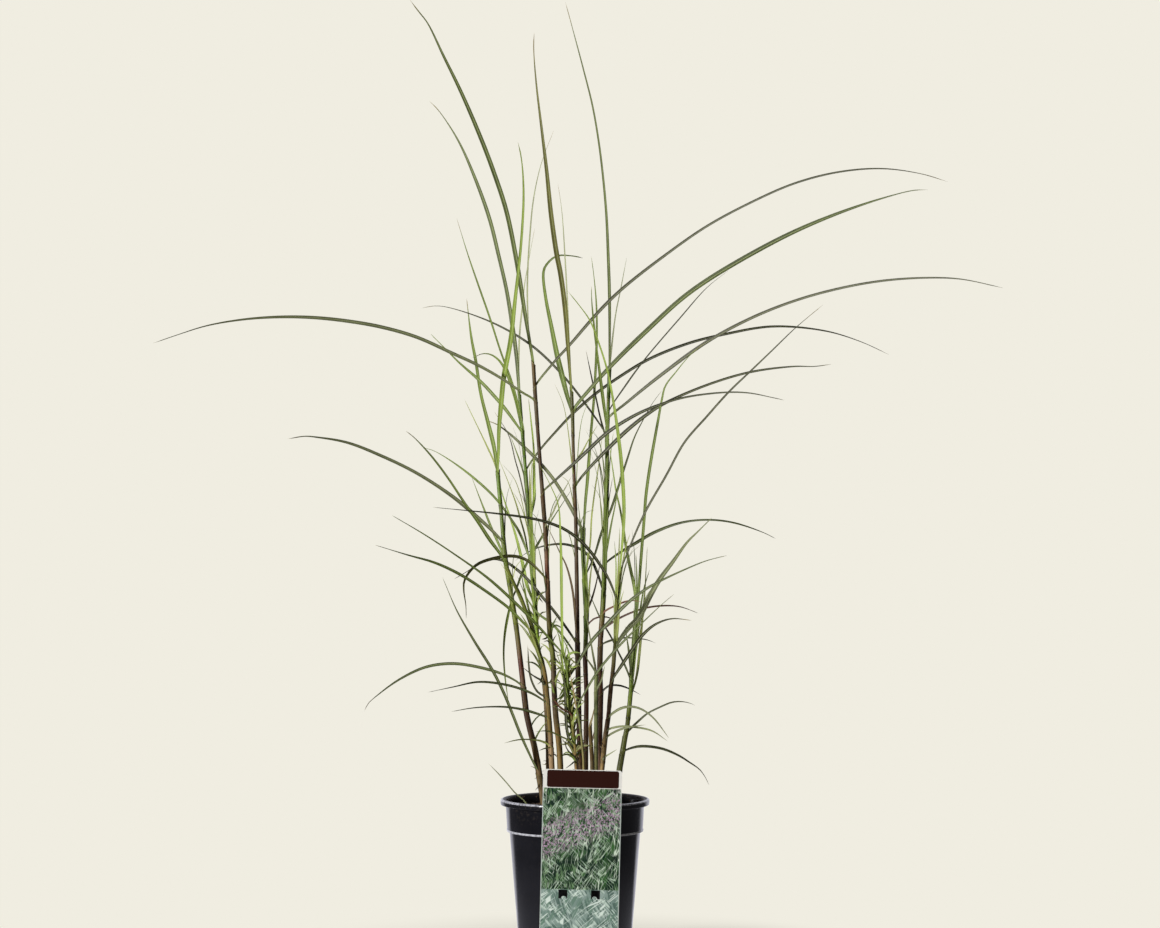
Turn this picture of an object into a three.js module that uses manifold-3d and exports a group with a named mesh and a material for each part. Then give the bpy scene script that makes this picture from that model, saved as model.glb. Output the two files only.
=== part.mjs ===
// Flamingo maiden grass in a nursery pot: fourteen leafy stems in soil, the pot, and a card label.
// Millimetres, +Z up. The origin is the centre of the pot's underside, and the front looks along -Y.

import * as THREE from 'three';
import { mergeVertices } from 'three/addons/utils/BufferGeometryUtils.js';
import Module from 'manifold-3d';

const wasm = await Module();
wasm.setup();

// Nursery pot of the 17 cm class
const RIM_TOP = 180;
const RIM_RADIUS = 85;
const RIM_INNER = 78.4;
const LIP_HEIGHT = 6.5;
const COLLAR_TOP_RADIUS = 78.9;
const COLLAR_FOOT_RADIUS = 77.4;
const COLLAR_HEIGHT = 36;
const BODY_TOP_RADIUS = 74.6;
const BASE_RADIUS = 62.9;
const WALL = 1.5;
const FLOOR = 2.2;
const ROUND_SIDES = 48;
const DRAIN_HOLES = 8;
const DRAIN_RADIUS = 4.5;
const DRAIN_CIRCLE = 47;

// Clear space between pieces that touch
const GAP = 0.35;

// Soil
const SOIL_EDGE = 166.5;
const SOIL_MOUND = 4.5;
const SOIL_RINGS = 7;
const SOIL_LUMP = 0.9;

// Card label in front of the rim, with a tongue that hooks over it
const CARD_WIDTH = 88;
const CARD_TOP = 220.6;
const CARD_BOTTOM = 20;
const CARD_THICK = 0.9;
const CARD_CORNER = 3;
const CARD_MIDDLE_X = 7.8;
const CARD_TILT = 1.42;
const CARD_BACK_Y = -(RIM_RADIUS + 0.5);
const SLOT_SIZE = 10;
const SLOT_FOOT = 76.6;
const SLOTS = [{ left: -23.8, tab: -17.7 }, { left: 12.6, tab: 16.5 }];
const TAB_RADIUS = 3;
const TONGUE_WIDTH = 20;
const TONGUE_INSIDE_Y = -75.3;
const TONGUE_FOOT = 172.6;

// The stems and leaves are set out as seen from the front, from this far away and at this height.
// A depth moves a point along its line of sight, so the outline from the front stays as set out.
const EYE_DISTANCE = 3800;
const EYE_X = 5.7;
const EYE_Z = 561.3;

// Culms and blades
const CULM_FOOT = 132;
const CULM_SIDES = 6;
const CULM_TAPER = 1.25;
const CULM_STEP = 30;
const BLADE_STEP = 30;
const BLADE_THICK = 0.9;
const BLADE_CHANNEL = 0.16;
const BLADE_ROLL = THREE.MathUtils.degToRad(35);
const BLADE_LEAST = 1.9;
const TIP_SHARE = 0.16;
const DEPTH_POWER = 1.3;
const FAN = 1.9;
const ROOT_SINK = 7;
const CURVE_PARTS = 8;

// What would cross another stem is bent clear: its tip's depth moves by these steps until it is
const TEST_STEP = 4;
const CLEAR = 3.2;
const BEND_STEP = 12;
const BEND_TRIES = 25;

// Each stem has its depth at the foot, the further depth it leans to at its top, its diameter at the
// foot and top, its culm as seen (x, z, x, z ...), and its leaves, each with its seen width, the depth
// that its tip leans away from the stem, and its midrib as seen from root to tip. The lean of stems and
// tips is listed for a clump held flat, and FAN is how much more a free one spreads.
const STEMS = {
  stem_far_left: {
    depth: 4, lean: 14, foot: 8.4, top: 4.2,
    culm: [-38, 190, -42.8, 220, -46.5, 240, -51.6, 260, -55.8, 280, -60.3, 320, -63.8, 350, -67.6, 380,
      -74, 420, -80, 455, -82, 480, -84, 505, -88, 550],
    leaves: [
      [5, 70, [-88, 550, -92, 580, -99, 609, -107, 641, -113, 679, -118, 705, -123.5, 750]],
      [5.5, -120, [-88, 552, -87, 575, -86.5, 600, -84, 630, -81, 660, -73.5, 700, -67.8, 750, -62.4, 800,
        -60, 830, -58.5, 865, -59.5, 895, -62, 915, -65, 928]],
      [5, -60, [-81, 470, -91, 482, -110, 500, -140, 525, -180, 551, -220, 570.5, -260, 586, -295, 592,
        -308, 593, -327, 590]],
      [3, 30, [-79, 450, -86, 468, -95, 488, -104, 511, -118, 547]],
      [3, 35, [-73, 402, -67, 418, -60, 437, -50, 457, -40, 474, -31, 490, -17, 512, -4, 532]],
      [4, 45, [-61, 309, -80, 321, -110, 330, -140, 334, -170, 330, -200, 316, -225, 298, -236, 288,
        -240, 280]],
      [4, -55, [-40, 205, -50, 227, -61.4, 252, -71.7, 278, -82, 302.6, -95, 328, -115, 360, -135, 395,
        -148, 425, -151, 432]],
      [3, -14, [-72, 405, -77.5, 384, -80.5, 365, -81.5, 345, -80, 320, -76, 290]],
      [2, 10, [-50, 262, -44.6, 271, -39, 276, -32, 283]],
      [2, -8, [-45, 248, -39, 259, -31, 269]],
      [2, 60, [-86, 540, -91, 561, -100, 581, -110, 602, -126, 635]],
    ],
  },
  stem_left_front: {
    depth: -24, lean: -14, foot: 7, top: 3.6,
    culm: [-25.5, 195, -28, 250, -31, 290, -34, 320, -38, 338, -43, 352, -48, 371, -55, 391, -62, 410,
      -71, 428, -77.5, 443],
    leaves: [
      [4, -50, [-77.5, 443, -84, 457, -97, 475, -110, 495, -125, 516, -145, 546, -165, 572, -185, 593,
        -193, 599]],
      [3, -30, [-31, 287, -42, 296, -56, 303, -80, 310, -110, 313, -140, 307, -168, 301]],
      [3, -22, [-29, 270, -50, 279, -70, 283.5, -85, 284.8, -115, 283.5, -141, 279]],
      [2.4, -12, [-29, 240, -38, 245.5, -60, 247.5, -70, 246, -81, 243]],
      [4, -60, [-44, 363, -50, 371, -61, 383, -75, 397, -100, 415.5, -130, 435, -160, 449, -190, 457.5,
        -228, 469]],
      [3, -12, [-33, 295, -42, 301, -48, 311, -51.5, 323, -54, 355]],
      [2.6, -12, [-35, 310, -40, 316, -46, 319, -60, 330]],
      [2, -6, [-27, 238, -35, 237, -42, 234]],
    ],
  },
  stem_left_back: {
    depth: 20, lean: 14, foot: 6.6, top: 3.4,
    culm: [-30, 195, -31, 250, -34, 300, -38, 333, -42, 352, -45, 390, -47.5, 430, -50, 470, -53, 510,
      -56.5, 555, -60, 598, -63.5, 642],
    leaves: [
      [5.5, 60, [-63.5, 642, -66.6, 685, -71.5, 722, -77.8, 760, -87, 800, -97, 840, -113, 885, -133, 930,
        -156, 965, -166, 975]],
      [4, 40, [-60.5, 600, -66, 629, -72.5, 651, -80, 670, -88, 681, -97, 686.5, -106, 687, -117, 682]],
      [4, 30, [-60, 596, -69, 610, -80, 625, -93, 640, -107, 655, -133, 678, -147, 692, -165, 710]],
      [4, 70, [-56, 553, -40, 577, -20, 600, -3, 618, 22, 640, 50, 660, 85, 681, 130, 699, 170, 709,
        225, 718, 285, 713, 325, 701, 358, 686]],
      [3.4, 40, [-52, 455, -63, 483, -73, 499, -86, 517, -100, 532, -130, 557, -160, 576, -173, 580]],
      [2, 16, [-52, 480, -57, 520, -63.3, 549, -68, 565.5, -75.5, 594, -92, 621]],
      [2.4, 30, [-50, 500, -55, 535, -60, 556, -67, 576, -75, 597]],
      [2, 50, [-52, 455, -57, 480, -62, 498, -67, 516, -75, 538, -88, 570]],
      [4, 62, [-46, 400, -55, 425, -59, 445, -66, 475, -74, 501, -83, 528, -88, 548]],
      [3.6, 45, [-51, 498, -46.5, 520, -46.5, 540, -47, 580, -50, 610, -53, 636]],
      [2, 100, [-63, 640, -64, 670, -63, 710, -60, 740, -57.5, 765, -46, 830]],
    ],
  },
  stem_tall_purple: {
    depth: -6, lean: -8, foot: 7.8, top: 3.8,
    culm: [-16, 195, -18, 240, -22, 275, -24, 310, -25, 340, -28.5, 365, -30.4, 400, -31.5, 430,
      -33.5, 480, -36.5, 520, -39.5, 560, -42.5, 600, -46, 650, -47.5, 676],
    leaves: [
      [6, -90, [-47.5, 676, -56.3, 730, -62.4, 770, -67.5, 800, -78, 850, -92, 893, -108, 935, -130, 986,
        -150, 1027, -168, 1064, -178, 1077, -188, 1090]],
      [4, 40, [-46, 648, -25, 676, -5, 698, 20, 727, 40, 748, 60, 766, 100, 797, 150, 832, 200, 859,
        250, 881, 300, 894, 350, 898, 395, 892, 425, 883]],
      [4.4, -50, [-46, 634, -60, 643, -82, 658, -110, 674, -140, 688, -180, 706, -220, 717.5, -260, 724.5,
        -300, 728.5, -340, 729, -380, 726, -420, 719, -455, 708, -481, 699]],
      [4, -50, [-38, 527, -22, 543, -2, 561, 15, 577, 37, 597, 70, 617.5, 100, 630, 130, 638, 175, 643,
        200, 642, 225, 637, 239, 634]],
      [4, -60, [-33, 430, -44.6, 443.6, -56, 452.5, -70, 456.5, -90, 454.5, -113, 446, -126, 429,
        -127, 418, -124.5, 400, -124, 385]],
      [2, 120, [-48, 675, -52, 705, -54, 740, -54, 775, -51.5, 820, -47, 865, -38, 905, -24, 942]],
      [2, -30, [-34, 490, -25, 506, -18.5, 521, -11, 534, -3, 549]],
    ],
  },
  stem_front_olive: {
    depth: -30, lean: -4, foot: 4.6, top: 2.8,
    culm: [2, 195, 1, 222, -1.2, 250, -4.5, 276, -8.2, 302, -8.5, 320, -9, 335],
    leaves: [
      [4, -40, [-8, 315, 0, 329, 18, 358, 34, 376, 57, 400, 72, 412.5, 90, 424, 130, 443, 150, 451,
        173, 457]],
      [3.4, -40, [-9, 330, -13, 345, -15, 400, -15.5, 440, -16.5, 480, -19, 515, -27, 535, -40, 560]],
      [3.4, -60, [-9, 338, -26, 359, -46.5, 381.5, -70, 405, -100, 432, -135, 457, -170, 480, -209, 503]],
      [2.4, -20, [-3, 244, -16.6, 251, -30.6, 257, -46, 256]],
      [2.4, -16, [-8, 296, -12, 318, -15, 345, -17, 365]],
      [3, -12, [-4.5, 276, -17, 284, -27, 297]],
      [2.6, -24, [-8, 316, -11, 335, -15.4, 353, -18.5, 366, -23, 377]],
      [2.4, 8, [-8.5, 322, -6.5, 338, -8, 350, -14, 362, -20, 368]],
      [2.4, -30, [-8, 300, -9, 321, -11.5, 340, -10, 352, -3.5, 364]],
      [3.4, -10, [0, 232, -6, 245, -9.5, 262, -10.5, 285, -12, 310, -15, 335, -17, 352]],
      [2, -26, [1, 226, -4, 231, -9, 236, -12, 245, -17, 250]],
    ],
  },
  stem_front_tan: {
    depth: -44, lean: -4, foot: 4.4, top: 2.6,
    culm: [10, 195, 9.5, 227, 6.7, 255, 4.8, 269, 2, 283],
    leaves: [
      [2.8, -40, [2, 283, 12.4, 302.6, 25.5, 324, 42.3, 345, 64.7, 368.4, 86, 389, 100, 402, 113, 413]],
      [2, -10, [1, 286, -1.7, 302, -6, 325]],
    ],
  },
  stem_centre_dark: {
    depth: 0, lean: 4, foot: 7.4, top: 3.4,
    culm: [7, 195, 5, 250, 4, 300, 3, 345, 2.2, 420, 1.5, 460, 0.8, 500, -0.8, 540, -2, 580, -2.8, 618,
      -4, 645],
    leaves: [
      [6, 50, [-3, 620, -8, 636.5, -13.8, 659, -20, 685, -27, 720, -33, 750, -36, 778, -34, 786, -25, 796,
        -18, 799, 0, 798, 9, 796]],
      [5.5, -170, [-4, 645, -7.5, 690, -11.2, 740, -16.6, 780, -20.6, 800, -27, 845, -32, 895, -38, 945,
        -44, 995, -47, 1035, -46.5, 1053]],
      [6.5, -50, [-2.5, 621, 22, 652, 50, 682, 80, 711, 120, 748, 150, 770, 200, 800, 250, 826, 300, 847,
        350, 864, 385, 873, 402, 874]],
      [2, 60, [-4, 640, -6.5, 700, -8.7, 750, -11.5, 800, -15, 850, -19.5, 881]],
      [4.4, -30, [1, 537, 15, 555, 38, 579, 60, 600, 80, 616, 100, 629, 150, 651, 200, 666, 250, 672.5,
        273, 672.5, 292, 675]],
      [2, 10, [0, 563, 7.7, 574, 15.7, 589, 26, 606]],
      [4, 40, [0, 360, -20, 389, -38, 411, -55, 431, -66, 441, -79, 450, -91, 453, -103, 451, -126, 437,
        -138, 430]],
      [3, 25, [0, 345, -12, 363, -26, 379, -42, 391, -54, 407, -66, 434]],
      [2.6, -20, [2.2, 360, -2.6, 417, -10, 446, -17, 460, -24, 475, -35, 497]],
    ],
  },
  stem_centre_back: {
    depth: 18, lean: 10, foot: 7, top: 4,
    culm: [12, 195, 12.5, 250, 13, 300, 11.5, 340, 12.5, 370, 11.8, 400, 10.3, 430, 9.4, 462, 9.8, 484],
    leaves: [
      [5, 30, [9.5, 484, 3, 497, -4, 511, -15, 530, -26, 546.5, -41, 564, -58, 581, -77, 598, -90, 607,
        -103, 611.5]],
      [4, 120, [10, 485, 12, 518, 14.3, 542, 18, 592, 21.5, 632, 23.3, 662, 24.5, 690, 25, 720,
        24.1, 749, 20.8, 782, 18.5, 798]],
      [3, 40, [11, 430, 22, 456, 31, 485, 42, 512, 51, 540, 60, 568, 68, 592, 78, 612, 88, 630, 99, 645]],
      [2.2, 60, [12, 432, 17.5, 471, 19, 500, 23, 533, 27.5, 563, 31, 592]],
      [3, 50, [11.5, 348, 22, 364, 33, 374, 50, 385, 65, 392, 80, 397, 100, 399.7, 120, 398.5, 141, 391]],
      [2.4, 16, [12.5, 390, 18, 404, 23, 420, 30, 455]],
      [2.2, 24, [12.5, 374, 22, 385, 34.8, 387, 42, 385, 51, 382]],
    ],
  },
  stem_back_short: {
    depth: 34, lean: 2, foot: 5.6, top: 4,
    culm: [20, 195, 19.5, 225, 18, 245, 17, 262],
    leaves: [
      [2.8, 6, [17, 262, 20, 273, 22, 284]],
      [2.2, 30, [18.5, 240, 24, 262, 26, 284, 25, 306]],
    ],
  },
  stem_front_short: {
    depth: -34, lean: -3, foot: 5.8, top: 4.2,
    culm: [24, 195, 24, 300, 24.5, 322],
    leaves: [
      [2.4, -12, [24.5, 322, 20, 330, 14, 339, 10, 348]],
      [2.4, -20, [24.5, 320, 20, 348, 17, 365, 11, 400]],
      [2.6, -8, [24.2, 303, 30, 314, 32, 323, 34, 332]],
    ],
  },
  stem_right_tall: {
    depth: 4, lean: 14, foot: 7.8, top: 3.8,
    culm: [28, 195, 28, 250, 29, 300, 28.3, 330, 29, 360, 31, 385, 33, 420, 34, 470, 36, 510, 36.6, 550,
      36.5, 590, 37.8, 625, 39.3, 668],
    leaves: [
      [3.6, 160, [39.3, 668, 39.5, 750, 38, 800, 36, 845, 32, 890, 27, 930, 20, 970, 10, 1010, -2, 1055,
        -11, 1088]],
      [4.4, -80, [37, 612, 60, 632, 100, 664, 150, 700, 200, 727, 250, 747, 300, 761, 350, 770,
        400, 773.5, 440, 772, 488, 762]],
      [2, 50, [38, 620, 60, 654, 80, 681, 120, 728, 150, 762, 175, 782]],
      [3.6, -60, [36.5, 600, 32, 636, 28, 668, 22.5, 712, 19, 750, 18.8, 764]],
      [2.4, 20, [36.5, 585, 29, 614, 24, 637, 19, 660, 12.5, 691]],
      [3, 60, [36.5, 592, 12, 630, -16, 665, -50, 697, -95, 723, -145, 740, -160, 741.5, -175, 739]],
      [2, 90, [39, 664, 43, 705, 47, 735, 52, 760, 59, 797]],
      [3.6, 40, [33.5, 446, 51, 460, 70, 471.5, 90, 483, 120, 494, 150, 497.5, 180, 494.5, 215, 483,
        229, 476]],
      [3.4, 50, [32.5, 414, 24.5, 440, 17, 455, 5.8, 464.6, -12, 470, -30.6, 469, -47.4, 464,
        -61.4, 456, -68, 451]],
      [2.4, -20, [31.5, 391, 48, 400.5, 62, 405.5, 77, 404]],
      [2.4, 40, [29, 354, 47.9, 362, 65, 363, 83.4, 360.5, 92, 357]],
      [2.6, 30, [29, 298, 38, 308, 52, 308.5, 66, 303, 75, 298]],
      [2.4, -20, [33.6, 446, 41, 490, 46, 515, 52, 552]],
    ],
  },
  stem_right_brown: {
    depth: -18, lean: -8, foot: 6.8, top: 3.4,
    culm: [29, 195, 31, 215, 34.5, 250, 37.6, 270, 41.2, 310, 43.7, 330, 46.5, 370, 48, 405, 51, 438],
    leaves: [
      [3.6, -50, [48, 403, 40, 427, 27, 449, 9.6, 470.7, -10, 486, -30, 494.5, -50, 499.5, -85, 504.5,
        -130, 509, -162, 512]],
      [4, -60, [51, 438, 56, 500, 54, 550, 50, 590, 44, 632, 37, 668, 28, 697, 17, 725, 5, 742,
        -8, 758]],
      [2, -20, [48, 408, 50.5, 470, 51, 490]],
      [4, -50, [41.3, 312, 55.4, 335, 66.6, 351.6, 77, 366, 91, 378, 110, 384.8, 133, 383]],
      [3, -40, [37.8, 272, 52, 282.5, 65, 284.5, 77, 281, 90, 271, 107, 249]],
      [2.6, -30, [35.5, 257, 52, 262, 70, 261, 88, 257, 106, 245]],
      [2.6, -20, [34.5, 248, 50, 258, 66, 262, 81, 264]],
      [6, -70, [45, 350, 61, 374, 72, 385, 88, 415, 97, 430, 112, 450, 128, 472, 140, 484, 156, 500]],
      [3, 40, [51, 436, 61, 463, 80, 506, 104, 548, 125, 586, 150, 615, 175, 643, 200, 667, 225, 691,
        252, 717, 283, 743]],
      [2, -14, [32.5, 226, 40, 231, 48, 236]],
    ],
  },
  stem_far_right: {
    depth: 8, lean: 10, foot: 8.6, top: 3.2,
    culm: [48, 190, 51, 215, 54, 232, 57, 250, 59.5, 262, 61, 275, 62.5, 290, 63.5, 302, 65, 320,
      67, 340, 68.3, 357, 69, 372, 70, 386],
    leaves: [
      [2.6, 34, [64, 312, 57, 332, 50, 346, 43, 361, 36, 373, 30, 383, 25, 394, 19, 408, 14, 421]],
      [3, -10, [64.5, 318, 63, 335, 61.5, 348, 60, 358, 58.5, 368, 57, 377]],
      [4, -40, [70, 385, 71.5, 400, 73, 420, 74.5, 440, 76, 460, 78, 485, 79.5, 505, 81, 525, 84, 548,
        87.5, 570, 91, 590, 95, 612, 99, 634, 103, 650, 115, 666, 130, 684, 148, 700]],
      [3, 50, [64, 298, 67.5, 308, 71, 323, 73, 340, 74.5, 356, 76, 375, 77.5, 392, 78.5, 402, 80, 420,
        81, 440, 82.5, 467]],
      [3, 40, [55, 233, 68, 238.5, 80, 239.5, 100, 236.5, 118, 229, 130, 221.5, 142, 213, 148, 205,
        153, 195]],
      [2.6, 26, [58, 253, 63, 259, 75, 270.5, 83, 277, 100, 285.5, 110, 289.5, 120, 290.5, 130, 289,
        137, 286]],
      [3.6, 30, [70, 384, 69.5, 405, 67, 425, 63, 443, 60, 458, 57.5, 472, 55.5, 487, 53.5, 500,
        50.5, 515, 47, 530, 43.5, 553, 41, 570, 38.5, 588]],
    ],
  },
  stem_rim_left: {
    depth: -40, lean: -1, foot: 2.8, top: 2.2,
    culm: [-48.5, 150, -50, 163, -56.5, 176, -60, 179.5],
    leaves: [
      [1.9, -6, [-57.5, 177, -68.3, 186.6, -77.5, 197.5, -87.6, 208.7, -98.6, 219.8]],
    ],
  },
};

const COLOURS = {
  stem_far_left: 0x6d7a3e, stem_left_front: 0x77713f, stem_left_back: 0x71883c, stem_tall_purple: 0x59403a,
  stem_front_olive: 0x7c8748, stem_front_tan: 0x9b8c62, stem_centre_dark: 0x43302c,
  stem_centre_back: 0x62783a, stem_back_short: 0x5b4534, stem_front_short: 0x7d8a62,
  stem_right_tall: 0x6b7f3d, stem_right_brown: 0x66603a, stem_far_right: 0x78893f,
  stem_rim_left: 0x7c7a58,
};

// Makes a closed geometry a solid: only positions stay, shared corners are merged, and triangles that
// this leaves with two corners alike go
function solid(geometry) {
  const bare = geometry.index ? geometry.toNonIndexed() : geometry.clone();
  for (const name of Object.keys(bare.attributes)) {
    if (name !== 'position') bare.deleteAttribute(name);
  }
  const merged = mergeVertices(bare, 1e-4);
  const corners = merged.index.array;
  const faces = [];
  for (let i = 0; i < corners.length; i += 3) {
    const [a, b, c] = corners.slice(i, i + 3);
    if (a !== b && b !== c && c !== a) faces.push(a, b, c);
  }
  const mesh = new wasm.Mesh({
    numProp: 3,
    vertProperties: new Float32Array(merged.attributes.position.array),
    triVerts: new Uint32Array(faces),
  });
  return new wasm.Manifold(mesh);
}

function geometryOf(body) {
  const mesh = body.getMesh();
  const geometry = new THREE.BufferGeometry();
  geometry.setAttribute('position', new THREE.BufferAttribute(mesh.vertProperties, 3));
  geometry.setIndex(new THREE.BufferAttribute(mesh.triVerts, 1));
  return geometry;
}

// The seen line through the points of a flat list, as points {x, z, s}, with s from 0 at the root to 1
function seenLine(flat, step) {
  const corners = [];
  for (let i = 0; i < flat.length; i += 2) corners.push(new THREE.Vector3(flat[i], 0, flat[i + 1]));
  const fine = new THREE.CatmullRomCurve3(corners).getPoints((corners.length - 1) * CURVE_PARTS);
  const run = [0];
  for (let i = 1; i < fine.length; i++) run.push(run[i - 1] + fine[i].distanceTo(fine[i - 1]));
  const length = run[run.length - 1];
  const parts = Math.max(3, Math.round(length / step));
  const line = [];
  let k = 1;
  for (let i = 0; i <= parts; i++) {
    const s = i / parts;
    while (k < fine.length - 1 && run[k] < s * length) k++;
    const share = (s * length - run[k - 1]) / (run[k] - run[k - 1]);
    const point = fine[k - 1].clone().lerp(fine[k], share);
    line.push({ x: point.x, z: point.z, s });
  }
  return line;
}

// Moves a seen point to its depth along the line of sight
function placed(x, z, y) {
  const grow = (EYE_DISTANCE + y) / EYE_DISTANCE;
  return new THREE.Vector3(EYE_X + (x - EYE_X) * grow, y, EYE_Z + (z - EYE_Z) * grow);
}

function culmLine(stem) {
  const [x0, z0, x1, z1] = stem.culm;
  const slope = (x1 - x0) / (z1 - z0);
  return [x0 - slope * (z0 - CULM_FOOT), CULM_FOOT, ...stem.culm];
}

function culmDepth(stem, z) {
  const top = stem.culm[stem.culm.length - 1];
  const share = THREE.MathUtils.clamp((z - CULM_FOOT) / (top - CULM_FOOT), 0, 1);
  return stem.depth + FAN * stem.lean * share ** 1.5;
}

function culmX(stem, z) {
  const line = culmLine(stem);
  let k = 2;
  while (k < line.length - 2 && line[k + 1] < z) k += 2;
  const share = (z - line[k - 1]) / (line[k + 1] - line[k - 1]);
  return line[k - 2] + (line[k] - line[k - 2]) * Math.min(share, 1);
}

function culmRadius(stem, z) {
  const top = stem.culm[stem.culm.length - 1];
  const share = THREE.MathUtils.clamp((z - CULM_FOOT) / (top - CULM_FOOT), 0, 1);
  return THREE.MathUtils.lerp(stem.top, stem.foot, (1 - share) ** CULM_TAPER) / 2;
}

function culmPoints(stem, step) {
  return seenLine(culmLine(stem), step).map((p) => ({
    at: placed(p.x, p.z, culmDepth(stem, p.z)), radius: culmRadius(stem, p.z),
  }));
}

// A leaf's width widens from its root, keeps full to past the middle, and tapers to a fine tip
function bladeShare(s) {
  const opening = Math.min(1, 0.5 + 2.2 * s);
  return Math.max(TIP_SHARE, opening * (1 - s ** 2.4) ** 0.85);
}

function leafPoints(stem, leaf, deep, step) {
  const [seenWidth, , midrib] = leaf;
  const rootZ = midrib[1] - ROOT_SINK;
  const rootY = culmDepth(stem, midrib[1]);
  const width = Math.max(BLADE_LEAST, seenWidth) / Math.cos(BLADE_ROLL);
  return seenLine([culmX(stem, rootZ), rootZ, ...midrib], step).map((p) => ({
    at: placed(p.x, p.z, rootY + deep * p.s ** DEPTH_POWER), radius: width * bladeShare(p.s) / 2,
  }));
}

function crosses(line, others) {
  for (const p of line) {
    for (const q of others) {
      const room = p.radius + q.radius + CLEAR;
      if (p.at.distanceToSquared(q.at) < room * room) return true;
    }
  }
  return false;
}

// Finds the depth of each leaf's tip, in turn: the chosen depth, or the nearest step that is clear of
// the culms and the leaves set before it on the other stems
function setLeaves() {
  const names = Object.keys(STEMS);
  const taken = Object.fromEntries(names.map((name) => [name, culmPoints(STEMS[name], TEST_STEP)]));
  const depths = {};
  for (const name of names) {
    const others = names.filter((other) => other !== name).flatMap((other) => taken[other]);
    depths[name] = STEMS[name].leaves.map((leaf) => {
      for (let i = 0; i < BEND_TRIES; i++) {
        const deep = FAN * leaf[1] + BEND_STEP * Math.ceil(i / 2) * (i % 2 ? 1 : -1);
        const line = leafPoints(STEMS[name], leaf, deep, TEST_STEP);
        if (!crosses(line, others)) {
          taken[name].push(...line);
          return deep;
        }
      }
      return FAN * leaf[1];
    });
  }
  return depths;
}

// Sweeps a ring of corners along a line of points, with a flat first end and a flat or pointed last one
function sweep(points, ring, pointed) {
  const forward = points.map((_, i) => {
    const before = points[Math.max(i - 1, 0)].at;
    const after = points[Math.min(i + 1, points.length - 1)].at;
    return after.clone().sub(before).normalize();
  });
  const rows = points.map((p, i) => {
    const side = forward[i].clone().cross(new THREE.Vector3(0, 1, 0)).normalize();
    const back = forward[i].clone().cross(side);
    return ring(p).map(([a, b]) => p.at.clone().addScaledVector(side, a).addScaledVector(back, b));
  });
  const count = rows[0].length;
  const last = rows.length - 1;
  const corners = rows.slice(0, pointed ? last : last + 1).flat();
  const faces = [];
  for (let r = 0; r < (pointed ? last - 1 : last); r++) {
    for (let c = 0; c < count; c++) {
      const a = r * count + c;
      const b = r * count + (c + 1) % count;
      faces.push(a, b, b + count, a, b + count, a + count);
    }
  }
  for (let c = 1; c < count - 1; c++) faces.push(0, c + 1, c);
  const end = (pointed ? last - 1 : last) * count;
  if (pointed) {
    corners.push(points[last].at);
    for (let c = 0; c < count; c++) faces.push(end + c, end + (c + 1) % count, corners.length - 1);
  } else {
    for (let c = 1; c < count - 1; c++) faces.push(end, end + c, end + c + 1);
  }
  const geometry = new THREE.BufferGeometry();
  geometry.setAttribute('position', new THREE.Float32BufferAttribute(corners.flatMap((p) => p.toArray()), 3));
  geometry.setIndex(faces);
  return geometry;
}

function polygon(radius, sides) {
  return Array.from({ length: sides }, (_, i) => {
    const turn = (i / sides) * 2 * Math.PI;
    return [radius * Math.cos(turn), radius * Math.sin(turn)];
  });
}

// A blade's section is a shallow channel: two sharp edges, a groove above and a keel below
function channel(half) {
  const roll = ([a, b]) => [
    a * Math.cos(BLADE_ROLL) + b * Math.sin(BLADE_ROLL), b * Math.cos(BLADE_ROLL) - a * Math.sin(BLADE_ROLL),
  ];
  const lift = half * BLADE_CHANNEL * 2;
  const thick = Math.min(BLADE_THICK, half + 0.35);
  return [[half, lift / 2], [0, -lift / 2 + thick / 2], [-half, lift / 2], [0, -lift / 2 - thick / 2]].map(roll);
}

function stemGeometry(name, deeps) {
  const stem = STEMS[name];
  let body = solid(sweep(culmPoints(stem, CULM_STEP), (p) => polygon(p.radius, CULM_SIDES), false));
  stem.leaves.forEach((leaf, i) => {
    const line = leafPoints(stem, leaf, deeps[i], BLADE_STEP);
    body = body.add(solid(sweep(line, (p) => channel(p.radius), true)));
  });
  return geometryOf(body);
}

// The hole that a stem stands in: its foot, a gap wider all round and a gap deeper
function footHole(stem) {
  const points = culmPoints(stem, CULM_STEP).filter((p) => p.at.z < RIM_TOP + CULM_STEP);
  const down = points[0].at.clone().sub(points[1].at).normalize();
  points[0].at.addScaledVector(down, GAP);
  return solid(sweep(points, (p) => polygon(p.radius + GAP, CULM_SIDES), false));
}

function lathe(profile) {
  const points = profile.map(([r, z]) => new THREE.Vector2(r, z));
  return new THREE.LatheGeometry(points, ROUND_SIDES).rotateX(Math.PI / 2);
}

function bodyRadius(z) {
  const stepZ = RIM_TOP - COLLAR_HEIGHT;
  return BASE_RADIUS + (BODY_TOP_RADIUS - BASE_RADIUS) * z / stepZ;
}

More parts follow.
